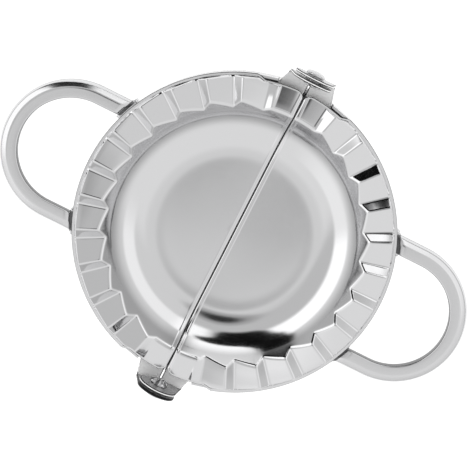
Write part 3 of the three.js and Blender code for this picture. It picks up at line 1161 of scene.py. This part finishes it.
@dataclass
class HingeRivet:
    """A rivet, turned about the hinge's axis: domed head, shaft, and an end that is crimped to a star.

    Its sections run from the crimp's tip outwards. crimp_rings gives the radius of each ring of the crimp, the
    share of the crimp's rise at which it lies, and how much of a star it is.
    """

    end: Half
    finish: bpy.types.Material
    # The dark finish that paints shade on the head's seat and between the crimp's petals.
    seat_finish: bpy.types.Material
    shaft_r: float = 1.9
    shaft_ease: float = 0.5
    head_r: float = 2.9
    head_height: float = 1.3
    head_edge: float = 0.3
    head_ease: float = 0.1
    edge_round: float = 0.12
    front_crimp_rise: float = 1.4
    rear_crimp_rise: float = 0.6
    petals: int = 5
    petal_swing: float = 0.3
    petal_lean: float = 0.12
    valley: float = -0.35
    seat_below: float = 0.05
    seat_above: float = 0.2
    sides: int = 60
    dome_rings: int = 9
    dome_share: float = 8 / 8.6
    sharp_deg: float = 35.0
    crimp_rings: tuple[tuple[float, float, float], ...] = (
        (0.25, 0.25, 0.0),
        (0.6, 0.17, 0.2),
        (0.85, 0.02, 0.5),
        (1.15, 0.0, 0.7),
        (1.5, 0.17, 1.0),
        (2.0, 0.5, 1.0),
        (2.3, 0.76, 1.0),
        (2.3, 1.0, 1.0),
    )

    def build(self) -> bpy.types.Object:
        """Turns the rivet's sections about its axis and dresses it.

        Returns:
            The dressed rivet.
        """
        shell = Shell()
        shell.bar([self._ring(r, y, star) for r, y, star in self._path()])
        name = "rear" if self.end is Half.RIGHT else "front"
        piece = shell.piece(f"{name}_hinge_rivet", self.end, self.sharp_deg)
        dress(piece, Half.LEFT.body, "rivet_steel", self.finish, f"{name}_rivet")
        dull_faces(piece, self.seat_finish, self._is_dull)
        return piece

    def _is_dull(self, middle: Vector, _way: Vector) -> bool:
        """Tells the faces with painted shade: the head's rim and underside, and the valleys between the crimp's
        petals.

        Args:
            middle: The face's middle, in millimetres.
            _way: The face's direction, which doesn't matter here.

        Returns:
            Whether the face belongs to them.
        """
        far = abs(middle.y)
        if SIZES.rivet_seat - self.seat_below < far < SIZES.rivet_seat + self.seat_above:
            return True
        turn = math.atan2(middle.z - SIZES.axis_z, middle.x)
        return far < SIZES.crimp_seat and math.cos(self.petals * turn) < self.valley

    def _path(self) -> list[tuple[float, float, float]]:
        """Draws the rivet's half section, from the crimp's tip to the head's top.

        Returns:
            Radius, distance from the middle of the press and share of a star of each ring.
        """
        crimp, seat = SIZES.crimp_seat, SIZES.rivet_seat
        rise = self.rear_crimp_rise if self.end is Half.RIGHT else self.front_crimp_rise
        path = [(r, crimp - rise + rise * share, star) for r, share, star in self.crimp_rings]
        for far in (crimp + self.edge_round, crimp + self.shaft_ease, seat - self.head_ease, seat):
            path.append((self.shaft_r, far, 0.0))
        path.append((self.head_r - self.edge_round, seat, 0.0))
        path.append((self.head_r, seat + self.edge_round, 0.0))
        dome = self.head_height - self.head_edge
        for a in np.linspace(0, QUARTER_TURN * self.dome_share, self.dome_rings):
            path.append((self.head_r * math.cos(a), seat + self.head_edge + dome * math.sin(a), 0.0))
        return path

    def _ring(self, radius: float, y: float, star: float) -> list[Point]:
        """Draws one ring about the hinge's axis, drawn out to points by the star's share.

        Args:
            radius: The ring's mean radius.
            y: Its distance from the middle of the press.
            star: How much of a star it is, from 0 to 1.

        Returns:
            The ring's points.
        """
        made = []
        for i in range(self.sides):
            turn = 2 * math.pi * i / self.sides
            swing = star * math.cos(self.petals * turn)
            r = radius * (1 + self.petal_swing * swing)
            lean = self.petal_lean * swing * star
            made.append((r * math.cos(turn), y - lean, SIZES.axis_z + r * math.sin(turn)))
        return made


# ---------------------------------------------------------------------------
# Handles
# ---------------------------------------------------------------------------


@dataclass
class LoopHandle:
    """One half's handle: a strap swept along a U, its two welded feet and the weld beads round its ends.

    The sizes for the root and the sides pick the strap's faces with painted shade: those near its ends, and the
    upright ones, which are steeper than a share of their direction on the inner and on the outer side.
    """

    half: Half
    finish: bpy.types.Material
    side_finish: bpy.types.Material
    width: float = 5.3
    thickness: float = 3.4
    shoulder_width: float = 2.2
    facet_width: float = 1.75
    facet_drop: float = 0.88
    side_drop: float = 2.1
    shoulder_round: float = 2.2
    outer_round: float = 1.2
    inner_round: float = 0.5
    round_steps: int = 6
    # The strap's last stretch by the skirt gets painted shade.
    tinted_root: float = 0.8
    side_low: float = -0.6
    side_high_inside: float = 0.72
    side_high_outside: float = 0.2
    root_flat: float = 0.6
    root_length: float = 2.6
    bend_steps: int = 72
    leg_steps: int = 18
    strap_sharp_deg: float = 50.0
    foot_width: float = 8.0
    foot_height: float = 3.7
    foot_low: float = 1.6
    foot_thickness: float = 0.9
    foot_inner_gap: float = 0.06
    foot_corner: float = 1.1
    foot_soft: float = 0.22
    foot_near_share: float = 0.3
    foot_shares: tuple[float, ...] = (0.3, 0.6, 0.85)
    foot_sharp_deg: float = 35.0
    bead_r: float = 0.34
    bead_sink: float = 0.05
    bead_close_share: float = 0.9

    def build(self) -> list[bpy.types.Object]:
        """Makes the strap, the feet and the beads, and dresses them.

        Returns:
            The dressed pieces.
        """
        word = self.half.word
        strap = self._strap()
        dress(strap, self.half.body, "handle_strap", self.finish, f"{word}_handle")
        dull_faces(strap, self.side_finish, self._is_side)
        made = [strap]
        for side, letter in ((1, "a"), (-1, "b")):
            foot = self._foot(side, letter)
            dress(foot, self.half.body, "handle_strap", self.finish, f"{word}_handle_foot_{letter}")
            bead = self._bead(side, letter)
            dress(bead, self.half.body, "handle_strap", self.finish)
            made.extend((foot, bead))
        return made

    def _is_side(self, middle: Vector, way: Vector) -> bool:
        """Tells the strap's upright sides and its cut ends, which get the painted shade.

        Args:
            middle: The face's middle, in millimetres.
            way: The face's direction.

        Returns:
            Whether the face belongs to them.
        """
        if middle.xy.length < SIZES.handle_root_r + self.tinted_root:
            return True
        reach = max(0.0, abs(middle.x) - SIZES.handle_bend_x)
        out = Vector((math.copysign(reach, middle.x), middle.y))
        limit = self.side_high_inside if out.dot(way.xy) < 0 else self.side_high_outside
        return self.side_low < way.z < limit

    def _section(self) -> list[tuple[float, ...]]:
        """Draws the strap's outline, starting at its inside.

        Returns:
            Distance outward from the strap's middle line, and height above it, of each point.
        """
        w, t = self.width / 2, self.thickness / 2
        shoulder = (w - self.shoulder_width, t)
        brow = (shoulder[0] + self.facet_width, t - self.facet_drop)
        corners = [(-w, -t), (w, -t), (w, t - self.side_drop), brow, shoulder, (-w, t)]
        inner, outer = self.inner_round, self.outer_round
        rounds = (inner, outer, outer, outer, self.shoulder_round, inner)
        outline = []
        for i, (corner, radius) in enumerate(zip(corners, rounds)):
            following = corners[(i + 1) % len(corners)]
            outline.extend(rounded_corner(corners[i - 1], corner, following, radius, self.round_steps))
        return outline

    def _centre(self) -> list[tuple[float, float, float, float, float]]:
        """Draws the strap's middle line, from one root round the bend to the other.

        Returns:
            Of each point x, y, the outward direction's x and y, and the distance from the nearer root.
        """
        r, bend_x, root_x = SIZES.handle_bend_r, SIZES.handle_bend_x, SIZES.handle_root_x
        shares = 1 - np.cos(np.linspace(0, QUARTER_TURN, self.leg_steps + 1))
        leg = [(root_x + (bend_x - root_x) * float(s)) for s in shares]
        path = [(x, -r, 0.0, -1.0, x - root_x) for x in leg[:-1]]
        for i in range(self.bend_steps + 1):
            a = -QUARTER_TURN + math.pi * i / self.bend_steps
            far = bend_x - root_x + r * (QUARTER_TURN - abs(a))
            path.append((bend_x + r * math.cos(a), r * math.sin(a), math.cos(a), math.sin(a), far))
        path.extend((x, r, 0.0, 1.0, x - root_x) for x in leg[-2::-1])
        return path

    def _strap(self) -> bpy.types.Object:
        """Sweeps the strap, pressed a little flatter at its roots and cut to the round of the feet.

        Returns:
            The strap.
        """
        root_x = SIZES.handle_root_x
        rows = []
        for x, y, out_x, out_y, far in self._centre():
            flat = 1 - (1 - self.root_flat) * max(0.0, 1 - far / self.root_length) ** 2
            row = []
            for across, high in self._section():
                px, py = x + out_x * across, y + out_y * across
                if far < SIZES.handle_bend_x - root_x and out_x == 0.0:
                    share = 1 - far / (SIZES.handle_bend_x - root_x)
                    px += (math.sqrt(SIZES.handle_root_r**2 - py**2) - root_x) * share
                row.append((px, py, SIZES.handle_z + high * flat))
            rows.append(row)
        shell = Shell()
        shell.bar(rows)
        return shell.piece(f"{self.half.word}_loop_handle", self.half, self.strap_sharp_deg)

    def _foot(self, side: int, letter: str) -> bpy.types.Object:
        """Makes a thin tab, curved to the skirt, between it and the strap's end.

        Args:
            side: 1 for the end that lies towards the rear on the right half, and -1 for the other.
            letter: The letter that its name ends with.

        Returns:
            The tab.
        """
        inner = SIZES.skirt_r + self.foot_inner_gap
        outer = SIZES.skirt_r + SIZES.seat_gap + self.foot_thickness
        half_w, half_h = self.foot_width / 2, self.foot_height / 2
        soft, near = self.foot_soft, self.foot_soft * self.foot_near_share
        frame = [(-half_w, -half_h), (half_w, -half_h), (half_w, half_h), (-half_w, half_h)]
        outline = []
        for i, point in enumerate(frame):
            following = frame[(i + 1) % len(frame)]
            outline.extend(rounded_corner(frame[i - 1], point, following, self.foot_corner, self.round_steps))
        stages = [(inner, half_h * self.foot_shares[-1]), (inner, 0.0), (outer - soft, 0.0)]
        stages += [(outer - near, near), (outer, soft)]
        stages += [(outer, half_h * share) for share in self.foot_shares]
        middle = side * math.asin(SIZES.handle_bend_r / SIZES.handle_root_r)
        rows = []
        for radius, inset in stages:
            row = []
            for along, up in outline:
                a = middle + along * (1 - inset / half_w) / SIZES.skirt_r
                z = self.foot_low + half_h + up * (1 - inset / half_h)
                row.append((radius * math.cos(a), radius * math.sin(a), z))
            rows.append(row)
        shell = Shell()
        shell.bar(rows)
        return shell.piece(f"{self.half.word}_handle_tab_{letter}", self.half, self.foot_sharp_deg)

    def _bead(self, side: int, letter: str) -> bpy.types.Object:
        """Lays the weld bead along the sides and the underside of the strap's end.

        Args:
            side: 1 for the end that lies towards the rear on the right half, and -1 for the other.
            letter: The letter that its name ends with.

        Returns:
            The bead.
        """
        limit = self.foot_low + self.foot_height - SIZES.handle_z - self.bead_r
        section = [(-self.width / 2, limit)] + [point for point in self._section() if point[1] < limit]
        r = SIZES.skirt_r + SIZES.seat_gap + self.foot_thickness - self.bead_sink
        turn = self.half.value * MM
        points = []
        for across, high in section:
            y = side * (SIZES.handle_bend_r + across)
            z = SIZES.handle_z + high * self.bead_close_share
            points.append((math.sqrt(r**2 - y**2) * turn, y * turn, z * MM))
        return WeldBead(f"{self.half.word}_handle_weld_{letter}", points, self.finish, self.bead_r).build()


@dataclass
class WeldBead:
    """An uneven round bead, swept by Geometry Nodes along a path whose points are in metres."""

    name: str
    path: list[Point]
    finish: bpy.types.Material
    radius: float
    unevenness: float = 0.12
    seed: int = 7
    stations: int = 96
    sides: int = 10
    sharp_deg: float = 60.0

    def build(self) -> bpy.types.Object:
        """Evaluates the bead's tree on its path.

        Returns:
            The bead as a plain mesh.
        """
        tree, sockets = self._tree()
        mesh = bpy.data.meshes.new(f"{self.name}_line")
        mesh.from_pydata(self.path, [(i, i + 1) for i in range(len(self.path) - 1)], [])
        guide = bpy.data.objects.new(f"{self.name}_guide", mesh)
        bpy.context.scene.collection.objects.link(guide)
        modifier = guide.modifiers.new("bead", "NODES")
        modifier.node_group = tree
        for socket, value in zip(sockets, (self.radius * MM, self.unevenness, self.seed)):
            modifier[socket.identifier] = value
        bpy.context.view_layer.update()
        evaluated = guide.evaluated_get(bpy.context.evaluated_depsgraph_get())
        made = bpy.data.meshes.new_from_object(evaluated)
        guide.modifiers.remove(modifier)
        bpy.data.objects.remove(guide)
        return finished_piece(self.name, made, self.sharp_deg)

    def _tree(self) -> tuple[bpy.types.NodeTree, list[bpy.types.NodeTreeInterfaceSocket]]:
        """Builds the bead's tree: a round profile, swept along the path, swelling at random.

        Returns:
            The tree, and the sockets of its radius, its unevenness and its seed.
        """
        tree = bpy.data.node_groups.new(f"{self.name}_tree", "GeometryNodeTree")
        faces = tree.interface
        faces.new_socket("Geometry", in_out="INPUT", socket_type="NodeSocketGeometry")
        kinds = {"Bead radius": "Float", "Unevenness": "Float", "Seed": "Int"}
        sockets = [
            faces.new_socket(name, in_out="INPUT", socket_type=f"NodeSocket{kind}")
            for name, kind in kinds.items()
        ]
        faces.new_socket("Geometry", in_out="OUTPUT", socket_type="NodeSocketGeometry")
        inputs = add_node(tree, "NodeGroupInput").outputs
        line = add_node(tree, "GeometryNodeMeshToCurve", Mesh=inputs["Geometry"])
        drawn = add_node(tree, "GeometryNodeResampleCurve", Curve=line.outputs[0], Count=self.stations)
        low = add_node(tree, "ShaderNodeMath", SUBTRACT, in_0=1.0, in_1=inputs["Unevenness"])
        high = add_node(tree, "ShaderNodeMath", ADD, in_0=1.0, in_1=inputs["Unevenness"])
        chance = add_node(
            tree,
            "FunctionNodeRandomValue",
            {"data_type": "FLOAT"},
            in_2=low.outputs[0],
            in_3=high.outputs[0],
            Seed=inputs["Seed"],
        )
        swell = chance.outputs[1]
        swollen = add_node(tree, "GeometryNodeSetCurveRadius", Curve=drawn.outputs[0], Radius=swell)
        ring = add_node(
            tree,
            "GeometryNodeCurvePrimitiveCircle",
            {"mode": "RADIUS"},
            Resolution=self.sides,
            Radius=inputs["Bead radius"],
        )
        swept = add_node(
            tree,
            "GeometryNodeCurveToMesh",
            Curve=swollen.outputs[0],
            Profile_Curve=ring.outputs[0],
            Fill_Caps=True,
        )
        if "Scale" in swept.inputs:
            tree.links.new(swell, swept.inputs["Scale"])
        real = add_node(tree, "GeometryNodeRealizeInstances", Geometry=swept.outputs[0])
        painted = add_node(tree, "GeometryNodeSetMaterial", Geometry=real.outputs[0], Material=self.finish)
        add_node(tree, "NodeGroupOutput", Geometry=painted.outputs[0])
        return tree, sockets


# ---------------------------------------------------------------------------
# Studio
# ---------------------------------------------------------------------------

STRAIGHT_DOWN_DEG = 180.0
# The picture's right lies this far round from +X. The dome's sides are counted from it.
PICTURE_TURN_DEG = 26.57

# A value, and the inputs of the map range that turns it into a share.
Limit = tuple[bpy.types.NodeSocket, dict[str, float]]


def fade(none_deg: float, full_deg: float) -> dict[str, float]:
    """Works out the limits of a share that follows an angle's cosine.

    Args:
        none_deg: The angle at which the share is 0.
        full_deg: The angle at which it is 1.

    Returns:
        The inputs of a map range.
    """
    none, full = (math.cos(math.radians(max(0.0, min(STRAIGHT_DOWN_DEG, a)))) for a in (none_deg, full_deg))
    return {
        "From_Min": min(none, full),
        "From_Max": max(none, full),
        "To_Min": float(full < none),
        "To_Max": float(full > none),
    }


def overlap(tree: bpy.types.NodeTree, limits: list[Limit]) -> bpy.types.NodeSocket:
    """Multiplies smooth shares, so that only what lies within every limit is left.

    Args:
        tree: The tree that gets the nodes.
        limits: The limits.

    Returns:
        The product, from 0 to 1.
    """
    share = 1.0
    for value, ends in limits:
        part = add_node(tree, "ShaderNodeMapRange", SMOOTHSTEP, Value=value, **ends).outputs["Result"]
        share = add_node(tree, "ShaderNodeMath", MULTIPLY, in_0=share, in_1=part).outputs[0]
    return share


def toward(side_deg: float, height_deg: float = 90.0) -> tuple[float, float, float]:
    """A direction from its side, in degrees from the picture's right, and its angle from straight up."""
    side, height = math.radians(side_deg + PICTURE_TURN_DEG), math.radians(height_deg)
    return (math.cos(side) * math.sin(height), math.sin(side) * math.sin(height), math.cos(height))


@dataclass(frozen=True)
class DomePanel:
    """A panel or gap of the dome, between two sides and from its top down to its foot.

    Sides are in degrees from the picture's right, anticlockwise, and heights in degrees from straight up.
    """

    first: float
    last: float
    top: float
    foot: float
    tone: float
    side_soft: float = 6.0
    top_soft: float = 3.0
    foot_soft: float = 3.0

    def share(self, tree: bpy.types.NodeTree, way: bpy.types.NodeSocket) -> bpy.types.NodeSocket:
        """Works out how much of the panel lies in a direction.

        Args:
            tree: The world's tree.
            way: The direction.

        Returns:
            The share, from 0 to 1.
        """
        parts = add_node(tree, "ShaderNodeSeparateXYZ", Vector=way).outputs
        flat = add_node(tree, "ShaderNodeCombineXYZ", X=parts[0], Y=parts[1])
        plan = add_node(tree, "ShaderNodeVectorMath", {"operation": "NORMALIZE"}, in_0=flat.outputs[0])
        middle, half = (self.first + self.last) / 2, (self.last - self.first) / 2
        near = add_node(tree, "ShaderNodeVectorMath", DOT_PRODUCT, in_0=plan.outputs[0], in_1=toward(middle))
        limits = [
            (near.outputs["Value"], fade(half + self.side_soft, half - self.side_soft)),
            (parts[2], fade(self.top - self.top_soft, self.top + self.top_soft)),
        ]
        if self.foot < STRAIGHT_DOWN_DEG:
            limits.append((parts[2], fade(self.foot + self.foot_soft, self.foot - self.foot_soft)))
        return overlap(tree, limits)


@dataclass(frozen=True)
class DomeScreen:
    """A screen before the dome: at each height from straight up, the sides between which it stands."""

    heights: tuple[float, ...]
    firsts: tuple[float, ...]
    lasts: tuple[float, ...]
    tone: float
    side_soft: float = 2.5
    top_soft: tuple[float, float] = (1.5, 3.0)
    foot_soft: float = 9.0

    def share(self, tree: bpy.types.NodeTree, way: bpy.types.NodeSocket) -> bpy.types.NodeSocket:
        """Works out how much of the screen lies in a direction.

        Args:
            tree: The world's tree.
            way: The direction.

        Returns:
            The share, from 0 to 1.
        """
        parts = add_node(tree, "ShaderNodeSeparateXYZ", Vector=way).outputs
        turn = add_node(tree, "ShaderNodeMath", ARCTAN2, in_0=parts[1], in_1=parts[0])
        fallen = add_node(tree, "ShaderNodeMath", {"operation": "ARCCOSINE"}, in_0=parts[2])
        height = add_node(tree, "ShaderNodeMath", DIVIDE, in_0=fallen.outputs[0], in_1=math.pi)
        soft = math.radians(self.side_soft)
        limits = []
        for sides, sign in ((self.firsts, 1.0), (self.lasts, -1.0)):
            edge = self._edge(tree, height.outputs[0], sides)
            inside = add_node(tree, "ShaderNodeMath", SUBTRACT, in_0=turn.outputs[0], in_1=edge)
            limits.append((inside.outputs[0], {"From_Min": -sign * soft, "From_Max": sign * soft}))
        top, foot = self.heights[0], self.heights[-1]
        limits.append((parts[2], fade(top - self.top_soft[0], top + self.top_soft[1])))
        limits.append((parts[2], fade(foot, foot - self.foot_soft)))
        return overlap(tree, limits)

    def _edge(
        self, tree: bpy.types.NodeTree, height: bpy.types.NodeSocket, sides: tuple[float, ...]
    ) -> bpy.types.NodeSocket:
        """Draws one side of the screen.

        Args:
            tree: The world's tree.
            height: The angle from straight up, in half turns.
            sides: The side's places, in degrees from the picture's right, at the screen's heights.

        Returns:
            The side's angle about the upright axis, in radians.
        """
        curve = add_node(tree, "ShaderNodeFloatCurve", Value=height)
        points = curve.mapping.curves[0].points
        places = [
            (high / STRAIGHT_DOWN_DEG, (side + PICTURE_TURN_DEG) / STRAIGHT_DOWN_DEG)
            for high, side in zip(self.heights, sides)
        ]
        points[0].location = (0.0, places[0][1])
        points[1].location = (1.0, places[-1][1])
        for place in places:
            points.new(*place)
        curve.mapping.update()
        return add_node(tree, "ShaderNodeMath", MULTIPLY, in_0=curve.outputs[0], in_1=math.pi).outputs[0]


@dataclass(frozen=True)
class DomeSpot:
    """A round spot of the dome, given by its middle and its full and fading radii, in degrees."""

    side: float
    height: float
    full: float
    faded: float
    tone: float

    def share(self, tree: bpy.types.NodeTree, way: bpy.types.NodeSocket) -> bpy.types.NodeSocket:
        """Works out how much of the spot lies in a direction.

        Args:
            tree: The world's tree.
            way: The direction.

        Returns:
            The share, from 0 to 1.
        """
        middle = toward(self.side, self.height)
        near = add_node(tree, "ShaderNodeVectorMath", DOT_PRODUCT, in_0=way, in_1=middle)
        return overlap(tree, [(near.outputs["Value"], fade(self.faded, self.full))])


DOME_LAYERS = (
    # The dome's top is a little darker at the picture's upper side, and lighter at its lower one.
    DomePanel(53.0, 200.0, 8.0, STRAIGHT_DOWN_DEG, 0.68, 8.0, 8.0),
    DomePanel(204.0, 338.0, 20.0, STRAIGHT_DOWN_DEG, 0.96, 10.0, 6.0),
    # White panels to the right and left.
    DomePanel(-22.0, 62.0, 39.0, 61.0, 1.17, 14.0),
    DomePanel(53.0, 74.0, 38.0, 62.0, 1.4, 5.0),
    DomePanel(170.0, 228.0, 41.0, STRAIGHT_DOWN_DEG, 1.14, 14.0),
    DomePanel(112.0, 189.0, 41.0, 68.0, 1.5, 7.0),
    DomePanel(127.0, 205.0, 68.0, STRAIGHT_DOWN_DEG, 1.0, 8.0),
    # A black screen with stepped sides, before a white panel: the bowls' walls mirror it as dark bands.
    DomePanel(66.0, 105.0, 63.0, STRAIGHT_DOWN_DEG, 1.5),
    DomeScreen(
        heights=(36.0, 42.0, 50.0, 55.0, 58.0, 62.0, 65.0, 72.0, 80.0, 90.0),
        firsts=(84.0, 80.0, 78.0, 70.0, 67.0, 70.0, 95.0, 103.0, 106.0, 108.0),
        lasts=(108.0, 115.0, 118.0, 121.0, 123.0, 124.0, 125.0, 127.0, 126.0, 124.0),
        tone=0.005,
    ),
    # Grey round spots overhead, the last one black: the bowls' floors mirror them.
    DomeSpot(262.0, 6.0, 0.5, 6.8, 0.57),
    DomeSpot(82.0, 14.0, 8.5, 13.0, 0.48),
    DomeSpot(82.0, 14.0, 2.5, 8.5, 0.03),
)


@dataclass
class Studio:
    """A pale floor, a soft dome and a camera that looks down from the photograph's side.

    The floor is a light table, so bright that no shadow shows on it. A disc of white paper masks its lamp
    under the press, and the fold and the slits look down on that shaded paper.
    """

    distance: float = 500.0
    view_width: float = 136.6
    lean: tuple[float, float] = (-0.057, 0.175)
    image_up: tuple[float, float] = (-0.447, 0.894)
    shift_right: float = 0.32
    shift_up: float = 0.23
    sensor: float = 36.0
    near_clip: float = 10.0
    far_clip: float = 20000.0
    floor_half: float = 1600.0
    floor_drop: float = 0.05
    floor_glow: float = 1.0
    table_tone: str = "#7C7C7C"
    paper_tone: str = "#E6E6E6"
    paper_r: float = 46.3
    paper_soft: float = 0.5
    dome_tone: float = 0.85
    horizon_deg: tuple[float, float] = (62.0, 88.0)
    horizon_share: float = 0.55

    def build(self) -> None:
        """Makes the floor, the dome and the camera."""
        self._camera()
        self._floor()
        self._dome()
        bpy.context.scene.view_settings.view_transform = "Standard"

    def _camera(self) -> None:
        """Places the camera so that the middle of the press falls where the photograph has it."""
        back = Vector((*self.lean, 1.0)).normalized()
        up = Vector((*self.image_up, 0.0))
        up = (up - up.dot(back) * back).normalized()
        right = up.cross(back)
        aim = Vector((0.0, 0.0, SIZES.pleat_mid_z)) + right * self.shift_right + up * self.shift_up
        spot = (aim + back * self.distance) * MM
        data = bpy.data.cameras.new("camera")
        data.sensor_width = self.sensor
        data.lens = self.sensor * self.distance / self.view_width
        data.clip_start = self.near_clip * MM
        data.clip_end = self.far_clip * MM
        camera = bpy.data.objects.new("camera", data)
        camera.matrix_world = Matrix.Translation(spot) @ Matrix((right, up, back)).transposed().to_4x4()
        bpy.context.scene.collection.objects.link(camera)
        bpy.context.scene.camera = camera

    def _floor(self) -> None:
        """Makes the light table and the paper on it."""
        size, low = self.floor_half * MM, -self.floor_drop * MM
        mesh = bpy.data.meshes.new("floor")
        corners = [(-size, -size, low), (size, -size, low), (size, size, low), (-size, size, low)]
        mesh.from_pydata(corners, [], [(0, 1, 2, 3)])
        floor = bpy.data.objects.new("floor", mesh)
        bpy.context.scene.collection.objects.link(floor)
        material = bpy.data.materials.new("opal_acrylic_light_table")
        material.use_nodes = True
        tree = material.node_tree
        tree.nodes.clear()
        place = add_node(tree, "ShaderNodeTexCoord").outputs["Object"]
        far = add_node(tree, "ShaderNodeVectorMath", LENGTH, in_0=place)
        bare = add_node(
            tree,
            "ShaderNodeMapRange",
            Value=far.outputs["Value"],
            From_Min=self.paper_r * MM,
            From_Max=(self.paper_r + self.paper_soft) * MM,
        ).outputs["Result"]
        tint = add_node(
            tree,
            "ShaderNodeMix",
            {"data_type": "RGBA"},
            in_0=bare,
            in_6=linear_colour(self.paper_tone),
            in_7=linear_colour(self.table_tone),
        )
        glow = add_node(tree, "ShaderNodeMath", MULTIPLY, in_0=bare, in_1=self.floor_glow)
        shader = add_node(
            tree,
            "ShaderNodeBsdfPrincipled",
            Base_Color=tint.outputs[2],
            Roughness=0.9,
            Emission_Color=(1.0, 1.0, 1.0, 1.0),
            Emission_Strength=glow.outputs[0],
        )
        add_node(tree, "ShaderNodeOutputMaterial", Surface=shader.outputs[0])
        mesh.materials.append(material)

    def _dome(self) -> None:
        """Makes the dome: pale, with its layers laid over it one by one, and dimmed towards the horizon."""
        world = bpy.data.worlds.new("studio_dome")
        bpy.context.scene.world = world
        world.use_nodes = True
        tree = world.node_tree
        tree.nodes.clear()
        way = add_node(tree, "ShaderNodeTexCoord").outputs["Generated"]
        tone = self.dome_tone
        for layer in DOME_LAYERS:
            share = layer.share(tree, way)
            mixed = add_node(
                tree, "ShaderNodeMix", {"data_type": "FLOAT"}, in_0=share, in_2=tone, in_3=layer.tone
            )
            tone = mixed.outputs[0]
        height = add_node(tree, "ShaderNodeSeparateXYZ", Vector=way).outputs[2]
        low = overlap(tree, [(height, fade(*self.horizon_deg))])
        dimmed = add_node(tree, "ShaderNodeMapRange", Value=low, To_Min=1.0, To_Max=self.horizon_share)
        tone = add_node(tree, "ShaderNodeMath", MULTIPLY, in_0=tone, in_1=dimmed.outputs[0])
        background = add_node(tree, "ShaderNodeBackground", Color=tone.outputs[0], Strength=1.0)
        add_node(tree, "ShaderNodeOutputWorld", Surface=background.outputs[0])


# ---------------------------------------------------------------------------
# The press
# ---------------------------------------------------------------------------


def main() -> None:
    """Loads the frame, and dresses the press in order."""
    logging.basicConfig(level=logging.INFO, format="%(message)s")
    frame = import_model()
    Studio().build()
    pressed = PRESSED_STEEL.material()
    rolled = ROLLED_STEEL.material()
    drawn = DRAWN_STEEL.material()
    headed = HEADED_STEEL.material()
    # The ears' pale finish is painted light, and the tongue, side, seat and edge finishes are painted shade.
    ledge_light = LEDGE_LIGHT_STEEL.material()
    tongue_shade = TONGUE_SHADE_STEEL.material()
    side_seat_shade = SIDE_SHADE_STEEL.material()
    dark_edge_shade = EDGE_SHADE_STEEL.material()
    for half in Half:
        PleatedPlate(half, pressed, dark_edge_shade).build()
        CutterSkirt(half, rolled).build()
        for is_outer in (True, False):
            HingeEar(half, ledge_light, tongue_shade, dark_edge_shade, is_outer).build(frame["nodes"])
        LoopHandle(half, drawn, side_seat_shade).build()
        HingeRivet(half, headed, side_seat_shade).build()


if __name__ == "__main__":
    main()
